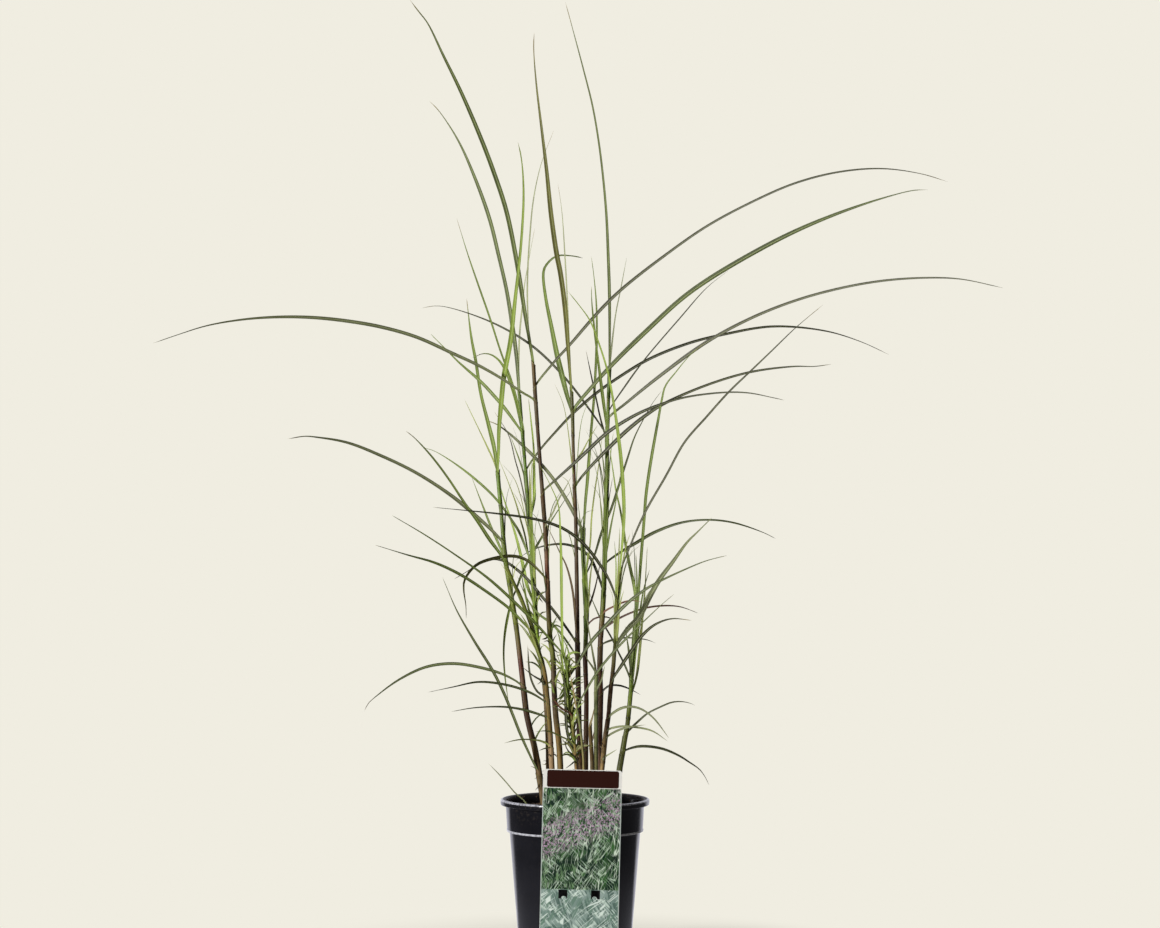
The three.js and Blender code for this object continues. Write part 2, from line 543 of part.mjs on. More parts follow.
function potGeometry() {
  const stepZ = RIM_TOP - COLLAR_HEIGHT;
  const lipZ = RIM_TOP - LIP_HEIGHT;
  const pot = solid(lathe([
    [0, 0], [BASE_RADIUS - 1.2, 0], [BASE_RADIUS, 1.2], [BODY_TOP_RADIUS - 0.1, stepZ - 1.2],
    [COLLAR_FOOT_RADIUS, stepZ], [COLLAR_TOP_RADIUS, lipZ], [RIM_RADIUS - 0.8, lipZ], [RIM_RADIUS, lipZ + 0.8],
    [RIM_RADIUS, RIM_TOP - 1.1], [RIM_RADIUS - 1.1, RIM_TOP], [RIM_INNER + 0.9, RIM_TOP],
    [RIM_INNER, RIM_TOP - 0.9], [COLLAR_TOP_RADIUS - WALL, lipZ - 2], [COLLAR_FOOT_RADIUS - WALL, stepZ + 1.6],
    [BODY_TOP_RADIUS - WALL, stepZ], [bodyRadius(FLOOR) - WALL, FLOOR], [0, FLOOR],
  ]));
  let drained = pot;
  for (let i = 0; i < DRAIN_HOLES; i++) {
    const turn = ((i + 0.5) / DRAIN_HOLES) * 2 * Math.PI;
    const drill = new THREE.CylinderGeometry(DRAIN_RADIUS, DRAIN_RADIUS, FLOOR * 3, 12).rotateX(Math.PI / 2);
    drill.translate(DRAIN_CIRCLE * Math.cos(turn), DRAIN_CIRCLE * Math.sin(turn), FLOOR / 2);
    drained = drained.subtract(solid(drill));
  }
  return geometryOf(drained);
}

// The soil's top: low at the wall, a mound where the stems stand, and lumps over both
function soilTop(x, y) {
  const reach = Math.hypot(x, y) / COLLAR_FOOT_RADIUS;
  const lumps = Math.sin(x / 4.7 + 1.1) * Math.cos(y / 5.3) + Math.sin((x - y) / 3.9) * 0.7;
  return SOIL_EDGE + SOIL_MOUND * (1 - reach * reach) + SOIL_LUMP * lumps * Math.min(1, 3 - 3 * reach);
}

function soilGeometry() {
  const stepZ = RIM_TOP - COLLAR_HEIGHT;
  const edge = COLLAR_TOP_RADIUS - WALL - 1;
  const profile = [
    [0, FLOOR + GAP], [bodyRadius(FLOOR) - WALL - GAP - 0.1, FLOOR + GAP],
    [BODY_TOP_RADIUS - WALL - GAP - 0.1, stepZ], [COLLAR_FOOT_RADIUS - WALL - GAP - 0.1, stepZ + 3],
  ];
  for (let i = 0; i <= SOIL_RINGS; i++) profile.push([edge * (1 - i / SOIL_RINGS), SOIL_EDGE]);
  const ground = lathe(profile);
  const place = ground.attributes.position;
  for (let i = 0; i < place.count; i++) {
    if (place.getZ(i) > stepZ + 4) place.setZ(i, soilTop(place.getX(i), place.getY(i)));
  }
  let soil = solid(ground);
  for (const stem of Object.values(STEMS)) soil = soil.subtract(footHole(stem));
  return geometryOf(soil);
}

function cardShape() {
  const half = CARD_WIDTH / 2;
  const shape = new THREE.Shape();
  const corner = CARD_CORNER;
  shape.absarc(half - corner, CARD_BOTTOM + corner, corner, -Math.PI / 2, 0);
  shape.absarc(half - corner, CARD_TOP - corner, corner, 0, Math.PI / 2);
  shape.absarc(-half + corner, CARD_TOP - corner, corner, Math.PI / 2, Math.PI);
  shape.absarc(-half + corner, CARD_BOTTOM + corner, corner, Math.PI, 1.5 * Math.PI);
  return shape;
}

// A square slot with a small round tab standing on its foot
function slotCut({ left, tab }) {
  const deep = CARD_THICK * 4;
  const cut = new THREE.BoxGeometry(SLOT_SIZE, deep, SLOT_SIZE);
  cut.translate(left + SLOT_SIZE / 2, CARD_BACK_Y, SLOT_FOOT + SLOT_SIZE / 2);
  const round = new THREE.CylinderGeometry(TAB_RADIUS, TAB_RADIUS, deep * 2, 16);
  return solid(cut).subtract(solid(round.translate(tab, CARD_BACK_Y, SLOT_FOOT)));
}

// The tongue leaves the card's back above the rim, crosses the rim, and turns down inside the pot
function tongueShape() {
  const over = RIM_TOP + 0.7;
  const top = over + CARD_THICK;
  const shape = new THREE.Shape();
  shape.moveTo(CARD_BACK_Y - CARD_THICK / 2, over);
  shape.lineTo(TONGUE_INSIDE_Y - CARD_THICK, over);
  shape.lineTo(TONGUE_INSIDE_Y - CARD_THICK, TONGUE_FOOT);
  shape.lineTo(TONGUE_INSIDE_Y, TONGUE_FOOT);
  shape.lineTo(TONGUE_INSIDE_Y, top);
  shape.lineTo(CARD_BACK_Y - CARD_THICK / 2, top);
  return shape;
}

function labelGeometry() {
  const flat = { depth: CARD_THICK, bevelEnabled: false, curveSegments: 4 };
  const card = new THREE.ExtrudeGeometry(cardShape(), flat).rotateX(Math.PI / 2).translate(0, CARD_BACK_Y, 0);
  const strip = { depth: TONGUE_WIDTH, bevelEnabled: false };
  const tongue = new THREE.ExtrudeGeometry(tongueShape(), strip);
  tongue.rotateY(Math.PI / 2).rotateX(Math.PI / 2).translate(-TONGUE_WIDTH / 2 - CARD_MIDDLE_X, 0, 0);
  let body = solid(card).add(solid(tongue));
  for (const slot of SLOTS) body = body.subtract(slotCut(slot));
  const label = geometryOf(body);
  label.translate(0, 0, -RIM_TOP);
  label.rotateY(THREE.MathUtils.degToRad(CARD_TILT));
  return label.translate(CARD_MIDDLE_X, 0, RIM_TOP);
}

function part(name, geometry, color, roughness) {
  const mesh = new THREE.Mesh(geometry, new THREE.MeshStandardMaterial({ color, roughness, metalness: 0 }));
  mesh.name = name;
  return mesh;
}

const plant = new THREE.Group();
plant.add(part('pot', potGeometry(), 0x1c1c23, 0.35));
plant.add(part('soil', soilGeometry(), 0x241a14, 0.95));
plant.add(part('label', labelGeometry(), 0xcfd4cc, 0.5));
const tipDepths = setLeaves();
for (const name of Object.keys(STEMS)) {
  plant.add(part(name, stemGeometry(name, tipDepths[name]), COLOURS[name], 0.6));
}

export default plant;
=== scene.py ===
# %% [markdown]
# # A potted clump of flamingo maiden grass
# The plant is a tuft of fourteen shoots in a round black nursery pot with a picture card at its front.
# Each shoot is a cane that is wrapped in leaf sheaths, and each sheath ends in one long ribbon of a
# leaf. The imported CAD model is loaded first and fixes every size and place. This script then draws
# finer surfaces where the CAD solids are, and gives them their colours.

import bpy
import numpy as np
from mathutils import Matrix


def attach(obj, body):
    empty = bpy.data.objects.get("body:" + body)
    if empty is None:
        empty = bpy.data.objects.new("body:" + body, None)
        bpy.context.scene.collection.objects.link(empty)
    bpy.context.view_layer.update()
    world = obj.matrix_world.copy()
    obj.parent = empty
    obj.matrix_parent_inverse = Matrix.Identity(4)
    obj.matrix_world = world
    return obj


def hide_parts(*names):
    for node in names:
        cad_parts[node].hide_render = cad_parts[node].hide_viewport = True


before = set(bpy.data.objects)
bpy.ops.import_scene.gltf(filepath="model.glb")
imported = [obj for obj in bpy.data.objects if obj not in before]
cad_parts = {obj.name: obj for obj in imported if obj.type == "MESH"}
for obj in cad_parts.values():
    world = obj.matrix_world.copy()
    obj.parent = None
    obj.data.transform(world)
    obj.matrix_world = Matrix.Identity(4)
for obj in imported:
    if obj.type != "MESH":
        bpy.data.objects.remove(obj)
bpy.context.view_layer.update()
MM = 0.001

# %% [markdown]
# ## The camera
# The photograph was taken from far away and a little over half the plant's height, so upright canes
# stay parallel and the pot's rim shows as a thin ellipse. A long lens 3.8 m away gives that look. The
# view is set first, because the shoots below are laid out along its lines of sight.

# %% Camera
EYE = np.array([5.7, -3800.0, 561.3])
PHOTO_WIDTH = 1322.4
SENSOR = 36

camera = bpy.data.objects.new("camera", bpy.data.cameras.new("camera"))
camera.location = EYE * MM
camera.rotation_euler = (np.pi / 2, 0, 0)
camera.data.sensor_width = SENSOR
camera.data.lens = SENSOR * -EYE[1] / PHOTO_WIDTH
bpy.context.collection.objects.link(camera)
bpy.context.scene.camera = camera
bpy.context.scene.view_settings.view_transform = "Standard"
print(f"lens {camera.data.lens:.1f} mm, {-EYE[1] * MM:.1f} m away")

# %% [markdown]
# ## Surfaces as grids of points
# A leaf, a cane or a pot is a sheet that can be laid out as rows and columns of points. Numpy works
# out all the points at once, and one helper joins the rows with quads, shuts the ends and makes a
# mesh. Every point also carries its own colour and its place on the leaf, for the materials to read.

# %% From grids of points to one mesh


def linear(rgb):
    """Turns 0-255 screen colours into the linear values that shaders use."""
    rgb = np.asarray(rgb, float) / 255
    return np.where(rgb <= 0.04045, rgb / 12.92, ((rgb + 0.055) / 1.055) ** 2.4)


def angles(count):
    """Evenly spaced angles round a full turn."""
    return np.linspace(0, 2 * np.pi, count, endpoint=False)


def surface(points, tone=None, place=None, finish=0, ring=False):
    """A grid of points in mm, rows by columns, that closes round its columns, and round its rows too
    if ring is set. tone is a linear colour and place three numbers for each point."""
    rows, columns = points.shape[:2]
    tone = np.zeros((rows, columns, 3)) if tone is None else np.broadcast_to(tone, (rows, columns, 3))
    place = np.zeros((rows, columns, 3)) if place is None else np.broadcast_to(place, (rows, columns, 3))
    return dict(points=points, tone=tone, place=place, finish=finish, ring=ring)


def grid_faces(rows, columns, ring):
    """Corner numbers of the quads between neighbouring rows, and of the two end faces."""
    number = np.arange(rows * columns).reshape(rows, columns)
    if ring:
        number = np.vstack([number, number[:1]])
    beside = np.roll(number, -1, axis=1)
    quads = np.stack([number[:-1], beside[:-1], beside[1:], number[1:]], -1).reshape(-1, 4)
    ends = [] if ring else [number[0][::-1], number[-1]]
    return quads, ends


def make_piece(name, surfaces, finishes, body="root"):
    """Joins surfaces into one mesh piece with the listed materials, riding on a body if one is given."""
    corners, totals, slots, offset = [], [], [], 0
    for part in surfaces:
        rows, columns = part["points"].shape[:2]
        quads, ends = grid_faces(rows, columns, part["ring"])
        corners += [quads.ravel() + offset] + [end + offset for end in ends]
        totals += [np.full(len(quads), 4)] + [[len(end)] for end in ends]
        slots.append(np.full(len(quads) + len(ends), part["finish"]))
        offset += rows * columns
    corners, totals = np.concatenate(corners), np.concatenate(totals).astype(int)
    mesh = bpy.data.meshes.new(name)
    mesh.vertices.add(offset)
    mesh.vertices.foreach_set("co", np.concatenate([p["points"].reshape(-1) for p in surfaces]) * MM)
    mesh.loops.add(len(corners))
    mesh.loops.foreach_set("vertex_index", corners)
    mesh.polygons.add(len(totals))
    mesh.polygons.foreach_set("loop_start", np.concatenate([[0], np.cumsum(totals)[:-1]]))
    mesh.polygons.foreach_set("material_index", np.concatenate(slots))
    mesh.polygons.foreach_set("use_smooth", np.ones(len(totals), bool))
    for label in ("tone", "place"):
        layer = mesh.attributes.new(label, "FLOAT_VECTOR", "POINT")
        layer.data.foreach_set("vector", np.concatenate([p[label].reshape(-1) for p in surfaces]))
    mesh.update(calc_edges=True)
    mesh.validate()
    piece = bpy.data.objects.new(name, mesh)
    bpy.context.collection.objects.link(piece)
    for finish in finishes:
        mesh.materials.append(finish)
    if body:
        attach(piece, body)
    triangles = int(np.sum(totals - 2))
    print(f"{name}: {len(surfaces)} surfaces, {triangles} triangles")
    return piece


# %% [markdown]
# ## The table of shoots
# The numbers below say how the clump grows. Each shoot has a cane and its leaves, drawn as seen from
# the front in millimetres. A leaf has its width, how far its tip leans towards or away from the
# viewer, its tone, and its midrib from root to tip. These are the values that the CAD solids were
# made from, so the finer leaves lie where the plain ones are. The lean is listed for a clump that is
# held flat, and a free one spreads 1.9 times as much.

# %% Shoots and leaves
STEMS = {
    "far_left": dict(
        depth=4, lean=14, foot=8.4, top=4.2,
        culm=[-38, 190, -42.8, 220, -46.5, 240, -51.6, 260, -55.8, 280, -60.3, 320, -63.8, 350, -67.6,
              380, -74, 420, -80, 455, -82, 480, -84, 505, -88, 550],
        leaves=[
            (5, 70, "green", [-88, 550, -92, 580, -99, 609, -107, 641, -113, 679, -118, 705, -123.5,
             750]),
            (5.5, -120, "fresh", [-88, 552, -87, 575, -86.5, 600, -84, 630, -81, 660, -73.5, 700, -67.8,
             750, -62.4, 800, -60, 830, -58.5, 865, -59.5, 895, -62, 915, -65, 928]),
            (5, -60, "grey", [-81, 470, -91, 482, -110, 500, -140, 525, -180, 551, -220, 570.5, -260, 586,
             -295, 592, -308, 593, -327, 590]),
            (3, 30, "green", [-79, 450, -86, 468, -95, 488, -104, 511, -118, 547]),
            (3, 35, "green", [-73, 402, -67, 418, -60, 437, -50, 457, -40, 474, -31, 490, -17, 512, -4,
             532]),
            (4, 45, "deep", [-61, 309, -80, 321, -110, 330, -140, 334, -170, 330, -200, 316, -225, 298,
             -236, 288, -240, 280]),
            (4, -55, "deep", [-40, 205, -50, 227, -61.4, 252, -71.7, 278, -82, 302.6, -95, 328, -115, 360,
             -135, 395, -148, 425, -151, 432]),
            (3, -14, "fresh", [-72, 405, -77.5, 384, -80.5, 365, -81.5, 345, -80, 320, -76, 290]),
            (2, 10, "green", [-50, 262, -44.6, 271, -39, 276, -32, 283]),
            (2, -8, "green", [-45, 248, -39, 259, -31, 269]),
            (2, 60, "pale", [-86, 540, -91, 561, -100, 581, -110, 602, -126, 635]),
        ],
    ),
    "left_front": dict(
        depth=-24, lean=-14, foot=7, top=3.6,
        culm=[-25.5, 195, -28, 250, -31, 290, -34, 320, -38, 338, -43, 352, -48, 371, -55, 391, -62, 410,
              -71, 428, -77.5, 443],
        leaves=[
            (4, -50, "green", [-77.5, 443, -84, 457, -97, 475, -110, 495, -125, 516, -145, 546, -165, 572,
             -185, 593, -193, 599]),
            (3, -30, "deep", [-31, 287, -42, 296, -56, 303, -80, 310, -110, 313, -140, 307, -168, 301]),
            (3, -22, "deep", [-29, 270, -50, 279, -70, 283.5, -85, 284.8, -115, 283.5, -141, 279]),
            (2.4, -12, "pale", [-29, 240, -38, 245.5, -60, 247.5, -70, 246, -81, 243]),
            (4, -60, "green", [-44, 363, -50, 371, -61, 383, -75, 397, -100, 415.5, -130, 435, -160, 449,
             -190, 457.5, -228, 469]),
            (3, -12, "dark", [-33, 295, -42, 301, -48, 311, -51.5, 323, -54, 355]),
            (2.6, -12, "dark", [-35, 310, -40, 316, -46, 319, -60, 330]),
            (2, -6, "pale", [-27, 238, -35, 237, -42, 234]),
        ],
    ),
    "left_back": dict(
        depth=20, lean=14, foot=6.6, top=3.4,
        culm=[-30, 195, -31, 250, -34, 300, -38, 333, -42, 352, -45, 390, -47.5, 430, -50, 470, -53, 510,
              -56.5, 555, -60, 598, -63.5, 642],
        leaves=[
            (5.5, 60, "soft", [-63.5, 642, -66.6, 685, -71.5, 722, -77.8, 760, -87, 800, -97, 840, -113,
             885, -133, 930, -156, 965, -166, 975]),
            (4, 40, "green", [-60.5, 600, -66, 629, -72.5, 651, -80, 670, -88, 681, -97, 686.5, -106, 687,
             -117, 682]),
            (4, 30, "green", [-60, 596, -69, 610, -80, 625, -93, 640, -107, 655, -133, 678, -147, 692,
             -165, 710]),
            (4, 70, "dark", [-56, 553, -40, 577, -20, 600, -3, 618, 22, 640, 50, 660, 85, 681, 130, 699,
             170, 709, 225, 718, 285, 713, 325, 701, 358, 686]),
            (3.4, 40, "green", [-52, 455, -63, 483, -73, 499, -86, 517, -100, 532, -130, 557, -160, 576,
             -173, 580]),
            (2, 16, "dark", [-52, 480, -57, 520, -63.3, 549, -68, 565.5, -75.5, 594, -92, 621]),
            (2.4, 30, "green", [-50, 500, -55, 535, -60, 556, -67, 576, -75, 597]),
            (2, 50, "pale", [-52, 455, -57, 480, -62, 498, -67, 516, -75, 538, -88, 570]),
            (4, 62, "fresh", [-46, 400, -55, 425, -59, 445, -66, 475, -74, 501, -83, 528, -88, 548]),
            (3.6, 45, "fresh", [-51, 498, -46.5, 520, -46.5, 540, -47, 580, -50, 610, -53, 636]),
            (2, 100, "faint", [-63, 640, -64, 670, -63, 710, -60, 740, -57.5, 765, -46, 830]),
        ],
    ),
    "tall_purple": dict(
        depth=-6, lean=-8, foot=7.8, top=3.8,
        culm=[-16, 195, -18, 240, -22, 275, -24, 310, -25, 340, -28.5, 365, -30.4, 400, -31.5, 430, -33.5,
              480, -36.5, 520, -39.5, 560, -42.5, 600, -46, 650, -47.5, 676],
        leaves=[
            (6, -90, "soft", [-47.5, 676, -56.3, 730, -62.4, 770, -67.5, 800, -78, 850, -92, 893, -108,
             935, -130, 986, -150, 1027, -168, 1064, -178, 1077, -188, 1090]),
            (4, 40, "ash", [-46, 648, -25, 676, -5, 698, 20, 727, 40, 748, 60, 766, 100, 797, 150, 832,
             200, 859, 250, 881, 300, 894, 350, 898, 395, 892, 425, 883]),
            (4.4, -50, "grey", [-46, 634, -60, 643, -82, 658, -110, 674, -140, 688, -180, 706, -220,
             717.5, -260, 724.5, -300, 728.5, -340, 729, -380, 726, -420, 719, -455, 708, -481, 699]),
            (4, -50, "dark", [-38, 527, -22, 543, -2, 561, 15, 577, 37, 597, 70, 617.5, 100, 630, 130,
             638, 175, 643, 200, 642, 225, 637, 239, 634]),
            (4, -60, "olive", [-33, 430, -44.6, 443.6, -56, 452.5, -70, 456.5, -90, 454.5, -113, 446,
             -126, 429, -127, 418, -124.5, 400, -124, 385]),
            (2, 120, "faint", [-48, 675, -52, 705, -54, 740, -54, 775, -51.5, 820, -47, 865, -38, 905,
             -24, 942]),
            (2, -30, "faint", [-34, 490, -25, 506, -18.5, 521, -11, 534, -3, 549]),
        ],
    ),
    "front_olive": dict(
        depth=-30, lean=-4, foot=4.6, top=2.8,
        culm=[2, 195, 1, 222, -1.2, 250, -4.5, 276, -8.2, 302, -8.5, 320, -9, 335],
        leaves=[
            (4, -40, "deep", [-8, 315, 0, 329, 18, 358, 34, 376, 57, 400, 72, 412.5, 90, 424, 130, 443,
             150, 451, 173, 457]),
            (3.4, -40, "fresh", [-9, 330, -13, 345, -15, 400, -15.5, 440, -16.5, 480, -19, 515, -27, 535,
             -40, 560]),
            (3.4, -60, "green", [-9, 338, -26, 359, -46.5, 381.5, -70, 405, -100, 432, -135, 457, -170,
             480, -209, 503]),
            (2.4, -20, "pale", [-3, 244, -16.6, 251, -30.6, 257, -46, 256]),
            (2.4, -16, "fresh", [-8, 296, -12, 318, -15, 345, -17, 365]),
            (3, -12, "red", [-4.5, 276, -17, 284, -27, 297]),
            (2.6, -24, "fresh", [-8, 316, -11, 335, -15.4, 353, -18.5, 366, -23, 377]),
            (2.4, 8, "fresh", [-8.5, 322, -6.5, 338, -8, 350, -14, 362, -20, 368]),
            (2.4, -30, "green", [-8, 300, -9, 321, -11.5, 340, -10, 352, -3.5, 364]),
            (3.4, -10, "dark", [0, 232, -6, 245, -9.5, 262, -10.5, 285, -12, 310, -15, 335, -17, 352]),
            (2, -26, "dark", [1, 226, -4, 231, -9, 236, -12, 245, -17, 250]),
        ],
    ),
    "front_tan": dict(
        depth=-44, lean=-4, foot=4.4, top=2.6,
        culm=[10, 195, 9.5, 227, 6.7, 255, 4.8, 269, 2, 283],
        leaves=[
            (2.8, -40, "deep", [2, 283, 12.4, 302.6, 25.5, 324, 42.3, 345, 64.7, 368.4, 86, 389, 100, 402,
             113, 413]),
            (2, -10, "dry", [1, 286, -1.7, 302, -6, 325]),
        ],
    ),
    "centre_dark": dict(
        depth=0, lean=4, foot=7.4, top=3.4,
        culm=[7, 195, 5, 250, 4, 300, 3, 345, 2.2, 420, 1.5, 460, 0.8, 500, -0.8, 540, -2, 580, -2.8, 618,
              -4, 645],
        leaves=[
            (6, 50, "green", [-3, 620, -8, 636.5, -13.8, 659, -20, 685, -27, 720, -33, 750, -36, 778, -34,
             786, -25, 796, -18, 799, 0, 798, 9, 796]),
            (5.5, -170, "olive", [-4, 645, -7.5, 690, -11.2, 740, -16.6, 780, -20.6, 800, -27, 845, -32,
             895, -38, 945, -44, 995, -47, 1035, -46.5, 1053]),
            (6.5, -50, "soft", [-2.5, 621, 22, 652, 50, 682, 80, 711, 120, 748, 150, 770, 200, 800, 250,
             826, 300, 847, 350, 864, 385, 873, 402, 874]),
            (2, 60, "faint", [-4, 640, -6.5, 700, -8.7, 750, -11.5, 800, -15, 850, -19.5, 881]),
            (4.4, -30, "dark", [1, 537, 15, 555, 38, 579, 60, 600, 80, 616, 100, 629, 150, 651, 200, 666,
             250, 672.5, 273, 672.5, 292, 675]),
            (2, 10, "pale", [0, 563, 7.7, 574, 15.7, 589, 26, 606]),
            (4, 40, "dark", [0, 360, -20, 389, -38, 411, -55, 431, -66, 441, -79, 450, -91, 453, -103,
             451, -126, 437, -138, 430]),
            (3, 25, "green", [0, 345, -12, 363, -26, 379, -42, 391, -54, 407, -66, 434]),
            (2.6, -20, "brown", [2.2, 360, -2.6, 417, -10, 446, -17, 460, -24, 475, -35, 497]),
        ],
    ),
    "centre_back": dict(
        depth=18, lean=10, foot=7, top=4,
        culm=[12, 195, 12.5, 250, 13, 300, 11.5, 340, 12.5, 370, 11.8, 400, 10.3, 430, 9.4, 462, 9.8,
              484],
        leaves=[
            (5, 30, "grey", [9.5, 484, 3, 497, -4, 511, -15, 530, -26, 546.5, -41, 564, -58, 581, -77,
             598, -90, 607, -103, 611.5]),
            (4, 120, "green", [10, 485, 12, 518, 14.3, 542, 18, 592, 21.5, 632, 23.3, 662, 24.5, 690, 25,
             720, 24.1, 749, 20.8, 782, 18.5, 798]),
            (3, 40, "deep", [11, 430, 22, 456, 31, 485, 42, 512, 51, 540, 60, 568, 68, 592, 78, 612, 88,
             630, 99, 645]),
            (2.2, 60, "pale", [12, 432, 17.5, 471, 19, 500, 23, 533, 27.5, 563, 31, 592]),
            (3, 50, "red", [11.5, 348, 22, 364, 33, 374, 50, 385, 65, 392, 80, 397, 100, 399.7, 120,
             398.5, 141, 391]),
            (2.4, 16, "brown", [12.5, 390, 18, 404, 23, 420, 30, 455]),
            (2.2, 24, "red", [12.5, 374, 22, 385, 34.8, 387, 42, 385, 51, 382]),
        ],
    ),
    "back_short": dict(
        depth=34, lean=2, foot=5.6, top=4,
        culm=[20, 195, 19.5, 225, 18, 245, 17, 262],
        leaves=[
            (2.8, 6, "dry", [17, 262, 20, 273, 22, 284]),
            (2.2, 30, "brown", [18.5, 240, 24, 262, 26, 284, 25, 306]),
        ],
    ),
    "front_short": dict(
        depth=-34, lean=-3, foot=5.8, top=4.2,
        culm=[24, 195, 24, 300, 24.5, 322],
        leaves=[
            (2.4, -12, "grey", [24.5, 322, 20, 330, 14, 339, 10, 348]),
            (2.4, -20, "grey", [24.5, 320, 20, 348, 17, 365, 11, 400]),
            (2.6, -8, "grey", [24.2, 303, 30, 314, 32, 323, 34, 332]),
        ],
    ),
    "right_tall": dict(
        depth=4, lean=14, foot=7.8, top=3.8,
        culm=[28, 195, 28, 250, 29, 300, 28.3, 330, 29, 360, 31, 385, 33, 420, 34, 470, 36, 510, 36.6,
              550, 36.5, 590, 37.8, 625, 39.3, 668],
        leaves=[
            (3.6, 160, "soft", [39.3, 668, 39.5, 750, 38, 800, 36, 845, 32, 890, 27, 930, 20, 970, 10,
             1010, -2, 1055, -11, 1088]),
            (4.4, -80, "ash", [37, 612, 60, 632, 100, 664, 150, 700, 200, 727, 250, 747, 300, 761, 350,
             770, 400, 773.5, 440, 772, 488, 762]),
            (2, 50, "dark", [38, 620, 60, 654, 80, 681, 120, 728, 150, 762, 175, 782]),
            (3.6, -60, "green", [36.5, 600, 32, 636, 28, 668, 22.5, 712, 19, 750, 18.8, 764]),
            (2.4, 20, "dark", [36.5, 585, 29, 614, 24, 637, 19, 660, 12.5, 691]),
            (3, 60, "dark", [36.5, 592, 12, 630, -16, 665, -50, 697, -95, 723, -145, 740, -160, 741.5,
             -175, 739]),
            (2, 90, "faint", [39, 664, 43, 705, 47, 735, 52, 760, 59, 797]),
            (3.6, 40, "deep", [33.5, 446, 51, 460, 70, 471.5, 90, 483, 120, 494, 150, 497.5, 180, 494.5,
             215, 483, 229, 476]),
            (3.4, 50, "dark", [32.5, 414, 24.5, 440, 17, 455, 5.8, 464.6, -12, 470, -30.6, 469, -47.4,
             464, -61.4, 456, -68, 451]),
            (2.4, -20, "red", [31.5, 391, 48, 400.5, 62, 405.5, 77, 404]),
            (2.4, 40, "grey", [29, 354, 47.9, 362, 65, 363, 83.4, 360.5, 92, 357]),
            (2.6, 30, "dark", [29, 298, 38, 308, 52, 308.5, 66, 303, 75, 298]),
            (2.4, -20, "green", [33.6, 446, 41, 490, 46, 515, 52, 552]),
        ],
    ),
    "right_brown": dict(
        depth=-18, lean=-8, foot=6.8, top=3.4,
        culm=[29, 195, 31, 215, 34.5, 250, 37.6, 270, 41.2, 310, 43.7, 330, 46.5, 370, 48, 405, 51, 438],
        leaves=[
            (3.6, -50, "dark", [48, 403, 40, 427, 27, 449, 9.6, 470.7, -10, 486, -30, 494.5, -50, 499.5,
             -85, 504.5, -130, 509, -162, 512]),
            (4, -60, "fresh", [51, 438, 56, 500, 54, 550, 50, 590, 44, 632, 37, 668, 28, 697, 17, 725, 5,
             742, -8, 758]),
            (2, -20, "pale", [48, 408, 50.5, 470, 51, 490]),
            (4, -50, "dark", [41.3, 312, 55.4, 335, 66.6, 351.6, 77, 366, 91, 378, 110, 384.8, 133, 383]),
            (3, -40, "grey", [37.8, 272, 52, 282.5, 65, 284.5, 77, 281, 90, 271, 107, 249]),
            (2.6, -30, "grey", [35.5, 257, 52, 262, 70, 261, 88, 257, 106, 245]),
            (2.6, -20, "grey", [34.5, 248, 50, 258, 66, 262, 81, 264]),
            (6, -70, "grey", [45, 350, 61, 374, 72, 385, 88, 415, 97, 430, 112, 450, 128, 472, 140, 484,
             156, 500]),
            (3, 40, "ash", [51, 436, 61, 463, 80, 506, 104, 548, 125, 586, 150, 615, 175, 643, 200, 667,
             225, 691, 252, 717, 283, 743]),
            (2, -14, "faint", [32.5, 226, 40, 231, 48, 236]),
        ],
    ),
    "far_right": dict(
        depth=8, lean=10, foot=8.6, top=3.2,
        culm=[48, 190, 51, 215, 54, 232, 57, 250, 59.5, 262, 61, 275, 62.5, 290, 63.5, 302, 65, 320, 67,
              340, 68.3, 357, 69, 372, 70, 386],
        leaves=[
            (2.6, 34, "deep", [64, 312, 57, 332, 50, 346, 43, 361, 36, 373, 30, 383, 25, 394, 19, 408, 14,
             421]),
            (3, -10, "deep", [64.5, 318, 63, 335, 61.5, 348, 60, 358, 58.5, 368, 57, 377]),
            (4, -40, "green", [70, 385, 71.5, 400, 73, 420, 74.5, 440, 76, 460, 78, 485, 79.5, 505, 81,
             525, 84, 548, 87.5, 570, 91, 590, 95, 612, 99, 634, 103, 650, 115, 666, 130, 684, 148, 700]),
            (3, 50, "pale", [64, 298, 67.5, 308, 71, 323, 73, 340, 74.5, 356, 76, 375, 77.5, 392, 78.5,
             402, 80, 420, 81, 440, 82.5, 467]),
            (3, 40, "grey", [55, 233, 68, 238.5, 80, 239.5, 100, 236.5, 118, 229, 130, 221.5, 142, 213,
             148, 205, 153, 195]),
            (2.6, 26, "grey", [58, 253, 63, 259, 75, 270.5, 83, 277, 100, 285.5, 110, 289.5, 120, 290.5,
             130, 289, 137, 286]),
            (3.6, 30, "fresh", [70, 384, 69.5, 405, 67, 425, 63, 443, 60, 458, 57.5, 472, 55.5, 487, 53.5,
             500, 50.5, 515, 47, 530, 43.5, 553, 41, 570, 38.5, 588]),
        ],
    ),
    "rim_left": dict(
        depth=-40, lean=-1, foot=2.8, top=2.2,
        culm=[-48.5, 150, -50, 163, -56.5, 176, -60, 179.5],
        leaves=[
            (1.9, -6, "grey", [-57.5, 177, -68.3, 186.6, -77.5, 197.5, -87.6, 208.7, -98.6, 219.8]),
        ],
    ),
}
print(len(STEMS), "shoots with", sum(len(stem["leaves"]) for stem in STEMS.values()), "leaves")

